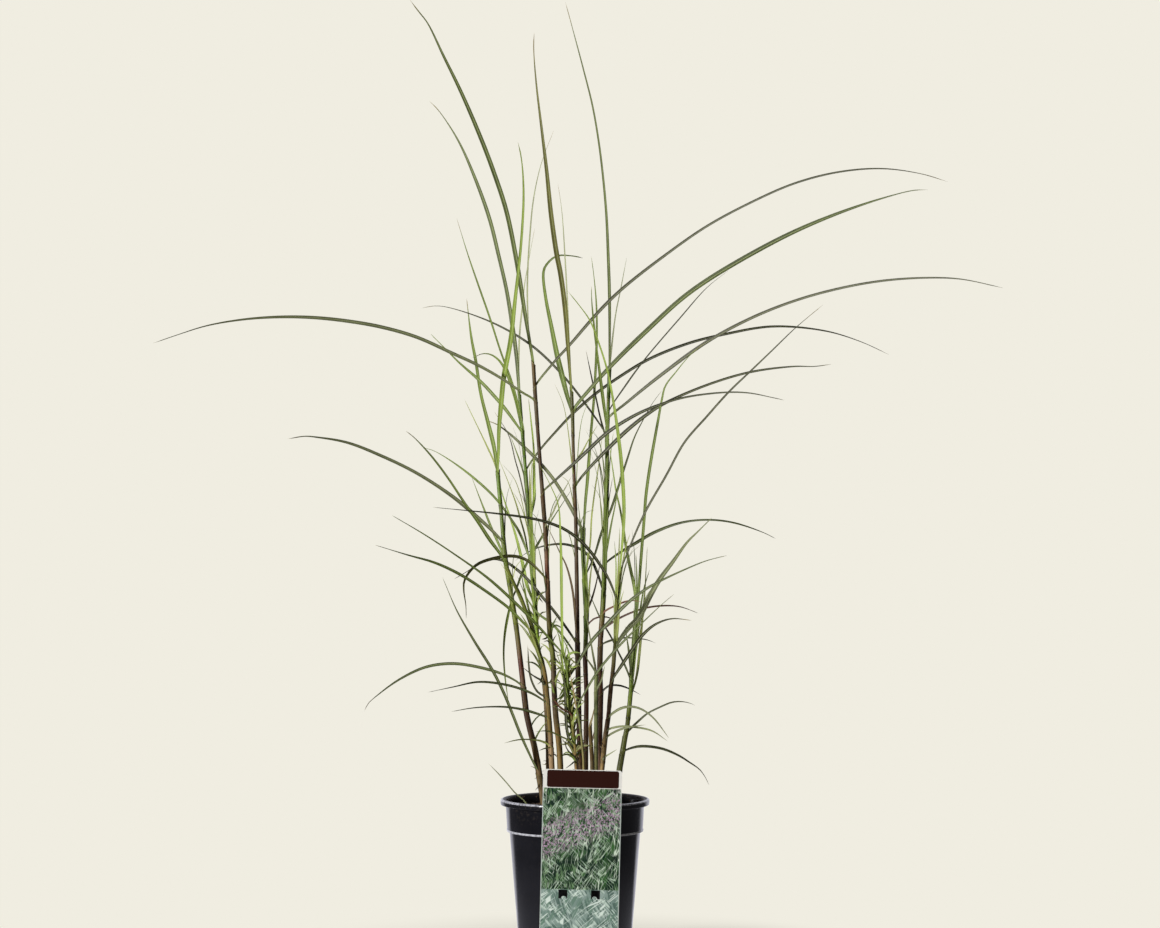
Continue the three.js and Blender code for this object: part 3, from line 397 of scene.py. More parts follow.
# %% [markdown]
# ## Midribs and canes in space
# A smooth curve through the listed points gives each midrib as the viewer sees it. Its depth is added
# afterwards, by moving every point along the line from the eye, so the outline from the front stays
# and the clump still fans out when it is seen from the side.

# %% Smooth lines and their depth
CULM_FOOT = 132
ROOT_SINK = 7
DEPTH_POWER = 1.3
FAN = 1.9
LEAF_GAP = 3.2
TIP_STEP = 12


def smooth_line(flat, step, least=8):
    """A centripetal Catmull-Rom curve through the points x, z, x, z ..., walked at even steps. The
    tangents come from the neighbours' distances to the power of a half. Gives x, z and the share s."""
    p = np.asarray(flat, float).reshape(-1, 2)
    p = np.vstack([2 * p[0] - p[1], p, 2 * p[-1] - p[-2]])
    p0, p1, p2, p3 = p[:-3], p[1:-2], p[2:-1], p[3:]
    d0, d1, d2 = (np.sum((b - a) ** 2, 1)[:, None] ** 0.25 for a, b in ((p0, p1), (p1, p2), (p2, p3)))
    t1 = ((p1 - p0) / d0 - (p2 - p0) / (d0 + d1) + (p2 - p1) / d1) * d1
    t2 = ((p2 - p1) / d1 - (p3 - p1) / (d1 + d2) + (p3 - p2) / d2) * d1
    t = np.linspace(0, 1, 8, endpoint=False)[None, :, None]
    curve = p1[:, None] + t1[:, None] * t + (3 * (p2 - p1) - 2 * t1 - t2)[:, None] * t**2
    curve = (curve + (2 * (p1 - p2) + t1 + t2)[:, None] * t**3).reshape(-1, 2)
    curve = np.vstack([curve, p[-2]])
    run = np.concatenate([[0], np.cumsum(np.linalg.norm(np.diff(curve, axis=0), axis=1))])
    s = np.linspace(0, 1, max(least, round(run[-1] / step)) + 1)
    return np.interp(s * run[-1], run, curve[:, 0]), np.interp(s * run[-1], run, curve[:, 1]), s


def placed(x, z, y):
    """Moves points seen at x, z to the depth y along the line of sight from the eye."""
    grow = (y - EYE[1]) / -EYE[1]
    return np.stack([EYE[0] + (x - EYE[0]) * grow, y + 0 * x, EYE[2] + (z - EYE[2]) * grow], -1)


def culm_line(stem):
    """The cane's seen points, carried on straight down to its foot in the soil."""
    x0, z0, x1, z1 = stem["culm"][:4]
    return [x0 - (x1 - x0) / (z1 - z0) * (z0 - CULM_FOOT), CULM_FOOT] + stem["culm"]


def culm_share(stem, z):
    """How far up the cane a height is, from 0 at the foot to 1 at the top."""
    return np.clip((z - CULM_FOOT) / (stem["culm"][-1] - CULM_FOOT), 0, 1)


def culm_depth(stem, z):
    """The cane's depth at a height: its foot's depth, and a lean that grows with the power 1.5."""
    return stem["depth"] + FAN * stem["lean"] * culm_share(stem, z) ** 1.5


def culm_radius(stem, z):
    """The cane's radius, which falls from foot to top with the power 1.25 of what is left above."""
    return (stem["top"] + (stem["foot"] - stem["top"]) * (1 - culm_share(stem, z)) ** 1.25) / 2


def culm_x(stem, z):
    """Where the cane is seen at a height."""
    line = culm_line(stem)
    return np.interp(z, line[1::2], line[0::2])


def frames(centre):
    """Along a line of points: the way forward, the way across that lies in the picture's plane, and
    the way back, which is square to both."""
    forward = np.gradient(centre, axis=0)
    forward /= np.linalg.norm(forward, axis=1, keepdims=True)
    side = np.cross(forward, [0.0, 1.0, 0.0])
    side /= np.linalg.norm(side, axis=1, keepdims=True)
    return forward, side, np.cross(forward, side)


tallest = max(STEMS.values(), key=lambda stem: stem["culm"][-1])
print("the tallest cane ends at", tallest["culm"][-1], "mm")

# %% [markdown]
# ## One leaf
# A maiden grass leaf is a narrow ribbon that is folded into a shallow gutter. The fold stiffens it, so
# it can arch a long way before it hangs. A thick pale midrib runs under the fold, and the edges are
# thin. The section is therefore a curve that rises to both edges, with a thickness that swells at the
# middle, and it is carried along the midrib while it slowly rolls from side to side.

# %% Leaf ribbons
LEAF_TONES = {
    "fresh": (132, 152, 64),
    "green": (98, 115, 45),
    "soft": (83, 92, 50),
    "deep": (80, 88, 50),
    "ash": (84, 83, 68),
    "olive": (108, 106, 54),
    "pale": (144, 152, 78),
    "grey": (112, 116, 82),
    # dark is partly painted shade: a near-black tone for leaves seen by their shaded underside, and also
    # the tone of dark dried scraps.
    "dark": (50, 49, 33),
    "brown": (86, 62, 42),
    "dry": (150, 130, 86),
    "red": (116, 60, 50),
    "faint": (142, 146, 110),
}
BLADE_ROLL = np.radians(35)
BLADE_LEAST = 1.9
TUFT_LEAST = 0.8
BLADE_CHANNEL = 0.32
BLADE_THICK = 0.42
MIDRIB_THICK = 0.5
MIDRIB_ABOVE = 0.12
MIDRIB_HALF = 0.16
chance = np.random.default_rng(7)


def half_width(leaf, s, tip, least=BLADE_LEAST):
    """Half a leaf's width along it. The seen width is turned back by the roll. The share of it opens
    from the sheath, stays full past the middle, and falls to the given share at the tip."""
    share = np.minimum(1, 0.5 + 2.2 * s) * np.maximum(1 - s**2.4, 0) ** 0.85
    return max(least, leaf[0]) / np.cos(BLADE_ROLL) / 2 * np.maximum(share, tip)


def leaf_line(stem, leaf, deep, step, least=8):
    """A leaf's midrib in space, from inside the cane to its tip, which lies deep behind its root."""
    midrib = leaf[3]
    root_z = midrib[1] - ROOT_SINK
    x, z, s = smooth_line([culm_x(stem, root_z), root_z] + midrib, step, least)
    return placed(x, z, culm_depth(stem, midrib[1]) + deep * s**DEPTH_POWER), s


def tip_depths():
    """The depth of each leaf's tip: the listed lean, or the nearest step from it at which the leaf is
    clear of the canes and of the leaves set before it on the other shoots."""
    taken = {}
    for name, stem in STEMS.items():
        x, z, _ = smooth_line(culm_line(stem), 4, 3)
        taken[name] = np.column_stack([placed(x, z, culm_depth(stem, z)), culm_radius(stem, z)])
    moves = TIP_STEP * np.array([0, 1, -1] + [sign * k for k in range(2, 13) for sign in (1, -1)])
    depths = {}
    for name, stem in STEMS.items():
        others = np.vstack([points for other, points in taken.items() if other != name])
        depths[name] = []
        for leaf in stem["leaves"]:
            for deep in FAN * leaf[1] + moves:
                centre, s = leaf_line(stem, leaf, deep, 4, 3)
                half = half_width(leaf, s, 0.16)
                apart = np.linalg.norm(centre[:, None] - others[None, :, :3], axis=2)
                if np.all(apart >= half[:, None] + others[None, :, 3] + LEAF_GAP):
                    taken[name] = np.vstack([taken[name], np.column_stack([centre, half])])
                    break
            else:
                deep = FAN * leaf[1]
            depths[name].append(deep)
    return depths


def leaf_surface(stem, leaf, deep, least=BLADE_LEAST):
    """One leaf as rows along its midrib and columns round its section. Across the leaf, v runs from -1
    to 1. The gutter's height is |v| to the power 1.5, and the thickness is a half circle in v with a
    narrow swelling at v = 0. Over its last fortieth the leaf runs out to a point."""
    centre, s = leaf_line(stem, leaf, deep, 5)
    phase, wave = chance.uniform(0, 2 * np.pi), chance.uniform(0.8, 1.6)
    half = half_width(leaf, s, 0.2, least) * np.clip((1 - s) * 40, 0.1, 1)
    half = (half * (1 + 0.03 * np.sin(9 * s * wave + phase)))[:, None]
    top = np.array([1, 0.82, 0.52, 0.2, 0.07, -0.07, -0.2, -0.52, -0.82, -1])
    v = np.concatenate([top, -top[1:-1]])
    face = np.concatenate([np.ones(10), -np.ones(8)])
    body = BLADE_THICK * np.sqrt(1 - v**2)
    body += np.where(face < 0, MIDRIB_THICK, MIDRIB_ABOVE) * np.exp(-((v / MIDRIB_HALF) ** 2))
    lift = half * BLADE_CHANNEL * (np.abs(v) ** 1.5 - 0.5) + face * body / 2 * np.minimum(1, half / 1.2)
    across = half * v
    roll = BLADE_ROLL + np.radians(10) * np.sin(2 * np.pi * s * wave + phase)[:, None]
    a = across * np.cos(roll) + lift * np.sin(roll)
    b = lift * np.cos(roll) - across * np.sin(roll)
    _, side, back = frames(centre)
    points = centre[:, None] + side[:, None] * a[..., None] + back[:, None] * b[..., None]

    tone = linear(LEAF_TONES[leaf[2]]) * chance.uniform(0.86, 1.14)
    collar = np.exp(-((s / 0.05) ** 2))[:, None, None]
    tip = np.clip((s - chance.uniform(0.9, 0.99)) / 0.06, 0, 1)[:, None, None]
    tone = tone * (1 - collar) + (0.55 * tone + 0.45 * linear(LEAF_TONES["fresh"])) * collar
    tone = tone * (1 - tip) + linear(LEAF_TONES["dry"]) * 0.8 * tip
    length = np.linalg.norm(np.diff(centre, axis=0), axis=1).sum()
    place = np.stack(np.broadcast_arrays(v[None, :], (s * length)[:, None], phase + 0 * half), -1)
    return surface(points, tone, place)


TUFT_KINDS = {
    "curled": dict(wide=3.4, turns=(1, 1, 0.4, -0.5),
                   words=("fresh", "fresh", "olive", "pale", "green")),
    "dried": dict(wide=2.0, turns=(1, 0.4, -0.5), words=("dry", "dark", "brown", "grey")),
    "fine": dict(wide=1.6, turns=(1,), words=("green", "soft", "pale", "faint")),
    "upright": dict(wide=4.2, turns=(1,), words=("fresh", "fresh", "green", "pale")),
}


def tuft(name, kind, low, high, count, spread, rise):
    """Small leaves of one kind along a cane, drawn at random between two heights. Each goes sideways
    by up to spread, turns up or down by up to rise, leans as the cane does and bends over at its tip."""
    stem, habit, made = STEMS[name], TUFT_KINDS[kind], []
    for _ in range(count):
        z, side = chance.uniform(low, high), chance.choice([-1, 1])
        across, up = chance.uniform(0.35, 1, 2) * (spread, rise)
        up *= chance.choice(habit["turns"])
        x, bend = culm_x(stem, z) + side * 0.8, chance.uniform(-0.35, 0.25) * spread
        lean = (culm_x(stem, z + 20) - culm_x(stem, z)) / 20 * up
        midrib = [x, z, x + side * across * 0.45 + lean * 0.75, z + up * 0.75]
        midrib += [x + side * across + lean, z + up + bend]
        leaf = (chance.uniform(0.5, 1) * habit["wide"], 0, chance.choice(habit["words"]), midrib)
        made.append(leaf_surface(stem, leaf, chance.uniform(-1, 1) * (8 + 0.35 * rise), TUFT_LEAST))
    return made


depths = tip_depths()
print("leaf tips, mm behind their roots, on the tallest shoot:", [round(d) for d in depths["tall_purple"]])

# %% [markdown]
# ## Canes and sheaths
# A grass cane is built like a telescope. Each leaf starts as a sheath that wraps the cane for one
# length, and at its top it opens into the blade with a pale collar. Below each sheath is a knot, a
# ring where the cane is a little thicker and darker. A turned profile with rings gives the cane, and
# each sheath is a thin tube round it with a slanting, slightly flared mouth.

# %% Canes and sheaths
CANE_TONES = {
    "umber": (98, 76, 48), "dusk": (62, 44, 30), "wine": (86, 48, 36), "plum": (64, 31, 30),
    "bronze": (118, 95, 52), "straw": (150, 120, 74), "blush": (172, 136, 106), "rose": (140, 94, 74),
    "moss": (68, 78, 34), "olive": (106, 112, 46), "green": (96, 122, 46), "lime": (142, 168, 58),
    "sage": (116, 124, 78),
}
CANE_BANDS = {
    "far_left": [(240, "umber"), (262, "dusk"), (340, "wine"), (385, "olive"), (550, "green")],
    "left_front": [(240, "blush"), (256, "bronze"), (320, "bronze"), (350, "olive")],
    "left_back": [(150, "dusk"), (300, "bronze"), (335, "moss"), (352, "lime"), (372, "lime"),
                  (395, "green")],
    "tall_purple": [(250, "bronze"), (285, "dusk"), (325, "dusk"), (350, "olive"), (400, "umber"),
                    (440, "rose"), (480, "umber"), (560, "dusk"), (676, "umber")],
    "front_olive": [(230, "straw"), (262, "olive"), (335, "lime")],
    "front_tan": [(150, "straw"), (283, "sage")],
    "centre_dark": [(150, "bronze"), (235, "wine"), (262, "plum"), (330, "plum"), (365, "dusk"),
                    (560, "umber"), (645, "moss")],
    "centre_back": [(150, "umber"), (300, "wine"), (345, "dusk"), (362, "green"), (415, "green"),
                    (430, "lime"), (445, "green")],
    "back_short": [(150, "umber"), (262, "bronze")],
    "front_short": [(150, "bronze"), (262, "sage")],
    "right_tall": [(260, "wine"), (372, "umber"), (392, "olive"), (465, "green"), (480, "lime"),
                   (495, "green")],
    "right_brown": [(235, "straw"), (262, "wine"), (320, "umber"), (360, "olive")],
    "far_right": [(240, "olive"), (275, "olive"), (300, "lime"), (386, "green")],
    "rim_left": [(180, "sage")],
}
ROUND = angles(18)
FIRST_KNOT = 195.0
KNOT_DROP = 26
KNOT_SPACE = 22
KNOT_BELL = 0.35
KNOT_GROOVE = 0.22


def knots(stem):
    """Heights of the knots: one below each leaf's root, kept well apart."""
    heights = sorted(leaf[3][1] - KNOT_DROP for leaf in stem["leaves"])
    kept = [FIRST_KNOT]
    for z in heights:
        if z - kept[-1] > KNOT_SPACE and z < stem["culm"][-1] - 10:
            kept.append(z)
    return np.array(kept)


def cane_tone(name, z):
    """The cane's colour at each height, blended between the listed heights channel by channel."""
    heights, words = zip(*CANE_BANDS[name])
    tones = linear([CANE_TONES[word] for word in words])
    return np.stack([np.interp(z, heights, tones[:, channel]) for channel in range(3)], -1)


def cane_surface(name, stem):
    """The cane as rings along its line. Its radius is the listed one, with a bell curve out at each
    knot and another in above it, and it is drawn in over its last 14 mm."""
    x, z, _ = smooth_line(culm_line(stem), 3)
    centre = placed(x, z, culm_depth(stem, z))
    gap = z[:, None] - knots(stem)[None, :]
    bell = np.exp(-((gap / 2.2) ** 2)).sum(1)
    groove = np.exp(-(((gap - 3.4) / 1.1) ** 2)).sum(1)
    radius = culm_radius(stem, z) * (1 - np.clip((z - z[-1] + 14) / 14, 0, 1) ** 2 * 0.8)
    radius = radius + KNOT_BELL * bell - KNOT_GROOVE * groove
    _, side, back = frames(centre)
    ring = side[:, None] * np.cos(ROUND)[:, None] + back[:, None] * np.sin(ROUND)[:, None]
    points = centre[:, None] + radius[:, None, None] * ring
    tone = cane_tone(name, z) * (1 - 0.55 * bell[:, None] + 0.3 * groove[:, None])
    place = np.stack(np.broadcast_arrays(np.cos(ROUND)[None], z[:, None], np.sin(ROUND)[None]), -1)
    return surface(points, np.clip(tone, 0.004, 1)[:, None], place, finish=1)


def sheath_surface(name, stem, leaf):
    """A sheath below a leaf as a closed ring: outside from foot to mouth, over the lip, and a little
    way down inside. The mouth is higher on the leaf's side by a cosine, and its edge flares."""
    _, _, word, midrib = leaf
    mouth = midrib[1] + 1.0
    floor = max([k for k in knots(stem) if k < mouth - 8], default=mouth - KNOT_DROP)
    lean = 1 if midrib[2] >= midrib[0] else -1
    up = np.array([0, 0.02, 0.25, 0.5, 0.75, 0.9, 0.97, 1, 0.99, 0.95, 0.93])
    out = np.array([-0.3, 0.22, 0.26, 0.3, 0.34, 0.44, 0.62, 0.66, 0.36, 0.1, -0.3])
    slant = 3.2 * np.cos(ROUND) * lean
    z = floor + 1 + (mouth - floor - 1) * up[:, None] + slant * up[:, None] ** 6
    centre = placed(culm_x(stem, z), z, culm_depth(stem, z))
    radius = culm_radius(stem, z) + out[:, None] * 0.9
    points = centre + np.stack([radius * np.cos(ROUND), radius * np.sin(ROUND), 0 * radius], -1)
    edge = np.exp(-(((up - 1) / 0.05) ** 2))[:, None, None]
    tone = 0.85 * cane_tone(name, z) + 0.15 * linear(LEAF_TONES[word])
    tone = tone * (1 - 0.3 * edge) + linear(LEAF_TONES["pale"]) * 0.3 * edge
    place = np.stack(np.broadcast_arrays(np.cos(ROUND)[None], z, np.sin(ROUND)[None]), -1)
    return surface(points, tone, place, finish=1, ring=True)


print("knots on the tallest cane:", len(knots(tallest)))

# %% [markdown]
# ## Shader helpers
# Each finish below is a small tree of nodes. One helper adds a node and fills its sockets, and another
# starts a node group, which is a piece of a tree that several materials share with their own values.

# %% Nodes and groups


def node(tree, kind, inputs=None, **options):
    """Adds a shader node. A socket in inputs gets a link if its value is another socket, else the value."""
    made = tree.nodes.new("ShaderNode" + kind)
    for option, value in options.items():
        setattr(made, option, value)
    for label, value in (inputs or {}).items():
        if isinstance(value, bpy.types.NodeSocket):
            tree.links.new(value, made.inputs[label])
        else:
            made.inputs[label].default_value = value
    return made


def math(tree, operation, a, b=0.0, clamp=False):
    """One step of arithmetic on two values."""
    return node(tree, "Math", {0: a, 1: b}, operation=operation, use_clamp=clamp).outputs[0]


def ramp(tree, value, low, high, to_low=0.0, to_high=1.0):
    """Maps a value smoothly from the span low..high to the span to_low..to_high."""
    inputs = {"Value": value, "From Min": low, "From Max": high, "To Min": to_low, "To Max": to_high}
    return node(tree, "MapRange", inputs, interpolation_type="SMOOTHSTEP").outputs[0]


def blend(tree, share, a, b, way="MIX"):
    """Mixes two colours. The share and the colours may be values or sockets."""
    made = node(tree, "Mix", {0: share}, data_type="RGBA", blend_type=way)
    for socket, value in ((made.inputs[6], a), (made.inputs[7], b)):
        if isinstance(value, bpy.types.NodeSocket):
            tree.links.new(value, socket)
        else:
            socket.default_value = (*value, 1) if len(value) == 3 else value
    return made.outputs[2]


def start_group(name, inputs, outputs):
    """A node group with named sockets. Returns its tree and the two nodes at its ends."""
    tree = bpy.data.node_groups.new(name, "ShaderNodeTree")
    for label, kind, value in inputs:
        socket = tree.interface.new_socket(label, in_out="INPUT", socket_type="NodeSocket" + kind)
        if value is not None:
            socket.default_value = value
    for label, kind in outputs:
        tree.interface.new_socket(label, in_out="OUTPUT", socket_type="NodeSocket" + kind)
    return tree, tree.nodes.new("NodeGroupInput"), tree.nodes.new("NodeGroupOutput")


def use_group(tree, group, inputs):
    """Places a group in a material's tree."""
    return node(tree, "Group", inputs, node_tree=group).outputs


def start_finish(name, **constants):
    """A material with a Principled shader, whose constant sockets are set on the shader itself."""
    finish = bpy.data.materials.new(name)
    finish.use_nodes = True
    tree = finish.node_tree
    shader = tree.nodes["Principled BSDF"]
    for label, value in constants.items():
        shader.inputs[label.replace("_", " ")].default_value = value
    return finish, tree, shader


def connect(tree, shader, colour, roughness, height, distance, strength):
    """Feeds the shader its colour, its roughness and a bump from a height."""
    bump = node(tree, "Bump", {"Strength": strength, "Distance": distance, "Height": height})
    tree.links.new(colour, shader.inputs["Base Color"])
    tree.links.new(roughness, shader.inputs["Roughness"])
    tree.links.new(bump.outputs[0], shader.inputs["Normal"])


print("shader helpers are ready")

# %% [markdown]
# ## Two patterns that the finishes share
# Leaves and canes both have fibres that run along them, so one group draws long thin streaks. Nothing
# that grew or was handled is evenly coloured either, so a second group gives soft patches at two
# sizes, for leaf, soil, pot and card alike.

# %% The groups Long fibres and Patches
fibres, group_in, group_out = start_group(
    "Long fibres",
    [("Place", "Vector", None), ("Across", "Float", 9.0), ("Along", "Float", 0.02)],
    [("Streak", "Float"), ("Height", "Float")],
)
scale = node(fibres, "CombineXYZ", {0: group_in.outputs["Across"], 1: group_in.outputs["Along"],
                                    2: group_in.outputs["Across"]})
long_place = node(fibres, "VectorMath", {0: group_in.outputs["Place"], 1: scale.outputs[0]},
                  operation="MULTIPLY")
coarse = node(fibres, "TexNoise", {"Vector": long_place.outputs[0], "Scale": 1.0, "Detail": 2.0})
fine = node(fibres, "TexNoise", {"Vector": long_place.outputs[0], "Scale": 3.1, "Detail": 1.0})
fibres.links.new(ramp(fibres, coarse.outputs[0], 0.32, 0.68), group_out.inputs["Streak"])
both = math(fibres, "ADD", math(fibres, "MULTIPLY", coarse.outputs[0], 0.6),
            math(fibres, "MULTIPLY", fine.outputs[0], 0.4))
fibres.links.new(both, group_out.inputs["Height"])

patches, group_in, group_out = start_group(
    "Patches",
    [("Place", "Vector", None), ("Size", "Float", 60.0)],
    [("Patch", "Float"), ("Grain", "Float")],
)
place, size = group_in.outputs["Place"], group_in.outputs["Size"]
wide = node(patches, "TexNoise", {"Vector": place, "Scale": size, "Detail": 3.0})
small_size = math(patches, "MULTIPLY", size, 11.0)
small = node(patches, "TexNoise", {"Vector": place, "Scale": small_size, "Detail": 3.0})
patches.links.new(ramp(patches, wide.outputs[0], 0.3, 0.7), group_out.inputs["Patch"])
patches.links.new(small.outputs[0], group_out.inputs["Grain"])
print("groups:", [group.name for group in bpy.data.node_groups])

# %% [markdown]
# ## The finish of leaf and cane
# A leaf's own tone comes with each point. Fibres run from root to tip, the midrib is a pale line, and
# the thin edges are darkened as painted shade. The surface has a soft wax gloss. A cane is smoother and
# glossier, with streaks, a bloom of pale wax in patches, and painted shade as a dark band down each
# side of it as seen from the front.

# %% Leaf and cane
leaf_finish, tree, shader = start_finish("grass leaf", Specular_IOR_Level=0.25)
tone = node(tree, "Attribute", attribute_name="tone").outputs["Color"]
place = node(tree, "Attribute", attribute_name="place").outputs["Vector"]
across = math(tree, "ABSOLUTE", node(tree, "SeparateXYZ", {0: place}).outputs[0])
streak, ridges = use_group(tree, fibres, {"Place": place, "Across": 7.0, "Along": 0.015})
patch, grain = use_group(tree, patches, {"Place": node(tree, "TexCoord").outputs["Object"], "Size": 45.0})
colour = blend(tree, 0.75, tone, ramp(tree, streak, 0, 1, 0.7, 1.15), "MULTIPLY")
colour = blend(tree, 0.6, colour, ramp(tree, patch, 0, 1, 0.72, 1.12), "MULTIPLY")
colour = blend(tree, ramp(tree, across, 0.02, 0.2, 0.42, 0.0), colour, linear((196, 204, 150)))
# Painted shade: the outer fifth of the leaf's width on each side darkens towards the edge.
colour = blend(tree, ramp(tree, across, 0.8, 1.0, 0.0, 0.45), colour, linear((58, 50, 36)))
connect(tree, shader, colour, ramp(tree, grain, 0.2, 0.8, 0.38, 0.6), ridges, 0.0004, 0.5)

cane_finish, tree, shader = start_finish("grass cane", Specular_IOR_Level=0.25)
tone = node(tree, "Attribute", attribute_name="tone").outputs["Color"]
place = node(tree, "Attribute", attribute_name="place").outputs["Vector"]
streak, ridges = use_group(tree, fibres, {"Place": place, "Across": 2.6, "Along": 0.02})
patch, grain = use_group(tree, patches, {"Place": node(tree, "TexCoord").outputs["Object"], "Size": 55.0})
colour = blend(tree, 0.8, tone, ramp(tree, streak, 0, 1, 0.62, 1.3), "MULTIPLY")
colour = blend(tree, ramp(tree, patch, 0.3, 1, 0.0, 0.16), colour, linear((150, 140, 104)))
# Painted shade: a dark band down both sides of the cane and its sheaths, where they turn sideways in the
# front view.
painted_side_shade = math(tree, "ABSOLUTE", node(tree, "SeparateXYZ", {0: place}).outputs[0])
colour = blend(tree, ramp(tree, painted_side_shade, 0.7, 0.97, 0.0, 0.6), colour, linear((30, 24, 16)))
connect(tree, shader, colour, ramp(tree, grain, 0.2, 0.8, 0.28, 0.5), ridges, 0.0004, 0.4)
print("finishes:", leaf_finish.name, "and", cane_finish.name)

# %% [markdown]
# ## Growing the shoots
# Each shoot is one piece: its cane, its sheaths and its leaves. It takes the place of the CAD node of
# the same name, which stays behind it for collisions. Tufts of small curled leaves crowd the canes at
# the left of the middle, dry scraps of old sheaths stand round the foot of the clump, and a few dozen
# slim upright leaves fill its middle. One slim leaf more stands at the upper left.

# %% The fourteen shoots
TUFTS = {
    "front_olive": [("curled", 222, 345, 62, 22, 24), ("dried", 196, 226, 8, 10, 10),
                    ("upright", 230, 270, 4, 8, 110)],
    "tall_purple": [("curled", 300, 390, 16, 18, 22), ("fine", 380, 560, 4, 26, 120)],
    "left_back": [("curled", 300, 420, 14, 18, 22), ("dried", 195, 262, 8, 11, 11),
                  ("fine", 360, 520, 7, 26, 130), ("upright", 345, 440, 7, 8, 190)],
    "left_front": [("dried", 196, 250, 5, 9, 9), ("fine", 330, 420, 3, 22, 80),
                   ("upright", 330, 380, 3, 8, 110)],
    "centre_dark": [("dried", 196, 246, 6, 10, 10), ("fine", 380, 560, 5, 26, 120)],
    "centre_back": [("upright", 340, 450, 4, 8, 120)],
    "right_tall": [("fine", 360, 560, 7, 28, 130), ("upright", 400, 480, 5, 8, 180)],
    "right_brown": [("dried", 196, 240, 4, 10, 10), ("fine", 330, 420, 3, 24, 110),
                    ("upright", 350, 410, 3, 8, 130)],
    "far_left": [("dried", 195, 215, 3, 14, 14), ("fine", 400, 500, 4, 24, 110)],
    "far_right": [("fine", 330, 380, 3, 20, 110), ("upright", 290, 350, 4, 9, 150)],
}
SLIM_LEAF = (2.8, 0, "green", [-58, 596, -64, 625, -72, 655, -84, 688, -97, 728, -110, 765, -122, 800,
                               -135, 842])
SLIM_DEPTH = -60
for name, stem in STEMS.items():
    surfaces = [cane_surface(name, stem)]
    surfaces += [sheath_surface(name, stem, leaf) for leaf in stem["leaves"] if leaf[0] > 2]
    surfaces += [leaf_surface(stem, leaf, deep) for leaf, deep in zip(stem["leaves"], depths[name])]
    if name == "left_back":
        surfaces.append(leaf_surface(stem, SLIM_LEAF, SLIM_DEPTH))
    for numbers in TUFTS.get(name, []):
        surfaces += tuft(name, *numbers)
    shoot = make_piece("shoot_" + name, surfaces, [leaf_finish, cane_finish])
    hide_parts("stem_" + name)

# %% [markdown]
# ## The pot
# Nursery pots are moulded from thin glossy polypropylene. The wall leans outwards so that pots nest,
# a collar below the rim stiffens it, and the lip stands proud so that hands and machines can grip it.
# The shape is a profile turned about the upright axis. Its corners are rounded first, so that the
# small curves catch the light, and the lip's edge and the bead below the collar get painted pale
# highlight lines. The holes in the floor are then cut by a Boolean modifier, which is the plain way to
# drill round holes.

# %% Rounded profiles and the pot
RIM_TOP = 180
BEAD_MIDDLE = 144.6 * MM
BEAD_HALF = 1.1 * MM
LIP_FOOT = 176 * MM
POT_WALL = [
    (2, 0, 0), (62.9, 0, 1.6), (74.5, 142.6, 0.6), (77.9, 143.2, 0.9), (78.1, 145.4, 0.9),
    (77.5, 146.2, 0.3), (78.9, 173.5, 0.7), (84.7, 173.4, 1.0), (85, RIM_TOP, 2.4),
    (78.4, RIM_TOP, 2.4), (77.5, 171.6, 2), (75.9, 145.6, 1), (73.1, 144, 1), (61.7, 2.2, 1.5),
    (2, 2.2, 0),
]


def rounded(corners, steps=6):
    """Rounds each corner (r, z, radius) with a parabola. It leaves the sides at the radius from the
    corner, which is its middle control point."""
    c = np.asarray(corners, float)
    point, radius = c[1:-1, :2], c[1:-1, 2:]
    before, after = c[:-2, :2] - point, c[2:, :2] - point
    start = point + before / np.linalg.norm(before, axis=1, keepdims=True) * radius
    end = point + after / np.linalg.norm(after, axis=1, keepdims=True) * radius
    t = np.linspace(0, 1, steps)[None, :, None]
    arcs = start[:, None] * (1 - t) ** 2 + 2 * point[:, None] * t * (1 - t) + end[:, None] * t**2
    return np.vstack([c[:1, :2], arcs.reshape(-1, 2), c[-1:, :2]])


def turned(profile, around=160):
    """Turns a profile of radii and heights about the upright axis: r cos, r sin, z."""
    turn = angles(around)
    r, z = profile[:, :1], profile[:, 1:]
    return np.stack([r * np.cos(turn), r * np.sin(turn), z + 0 * turn], -1)


def drill_holes(piece, count=8, radius=4.5, circle=47):
    """Cuts a ring of round holes through the piece's floor and keeps the result as its mesh."""
    rods = []
    for turn in (np.arange(count) + 0.5) / count * 2 * np.pi:
        rod = turned(np.array([[radius, -3.0], [radius, 6.0]]), 24)
        rods.append(surface(rod + [circle * np.cos(turn), circle * np.sin(turn), 0]))
    tool = make_piece("drill", rods, [])
    cut = piece.modifiers.new("drill", "BOOLEAN")
    cut.operation, cut.solver, cut.object = "DIFFERENCE", "EXACT", tool
    piece.data = bpy.data.meshes.new_from_object(piece.evaluated_get(bpy.context.evaluated_depsgraph_get()))
    piece.modifiers.clear()
    bpy.data.objects.remove(tool)


pot_finish, tree, shader = start_finish("black pot plastic", Specular_IOR_Level=0.55)
place = node(tree, "TexCoord").outputs["Object"]
patch, grain = use_group(tree, patches, {"Place": place, "Size": 28.0})
height = node(tree, "SeparateXYZ", {0: place}).outputs[2]
dust = math(tree, "MULTIPLY", ramp(tree, grain, 0.5, 0.75), ramp(tree, height, 0.15, 0.182, 0.03, 0.25))
colour = blend(tree, patch, linear((13, 13, 17)), linear((18, 18, 23)))
colour = blend(tree, dust, colour, linear((90, 80, 68)))
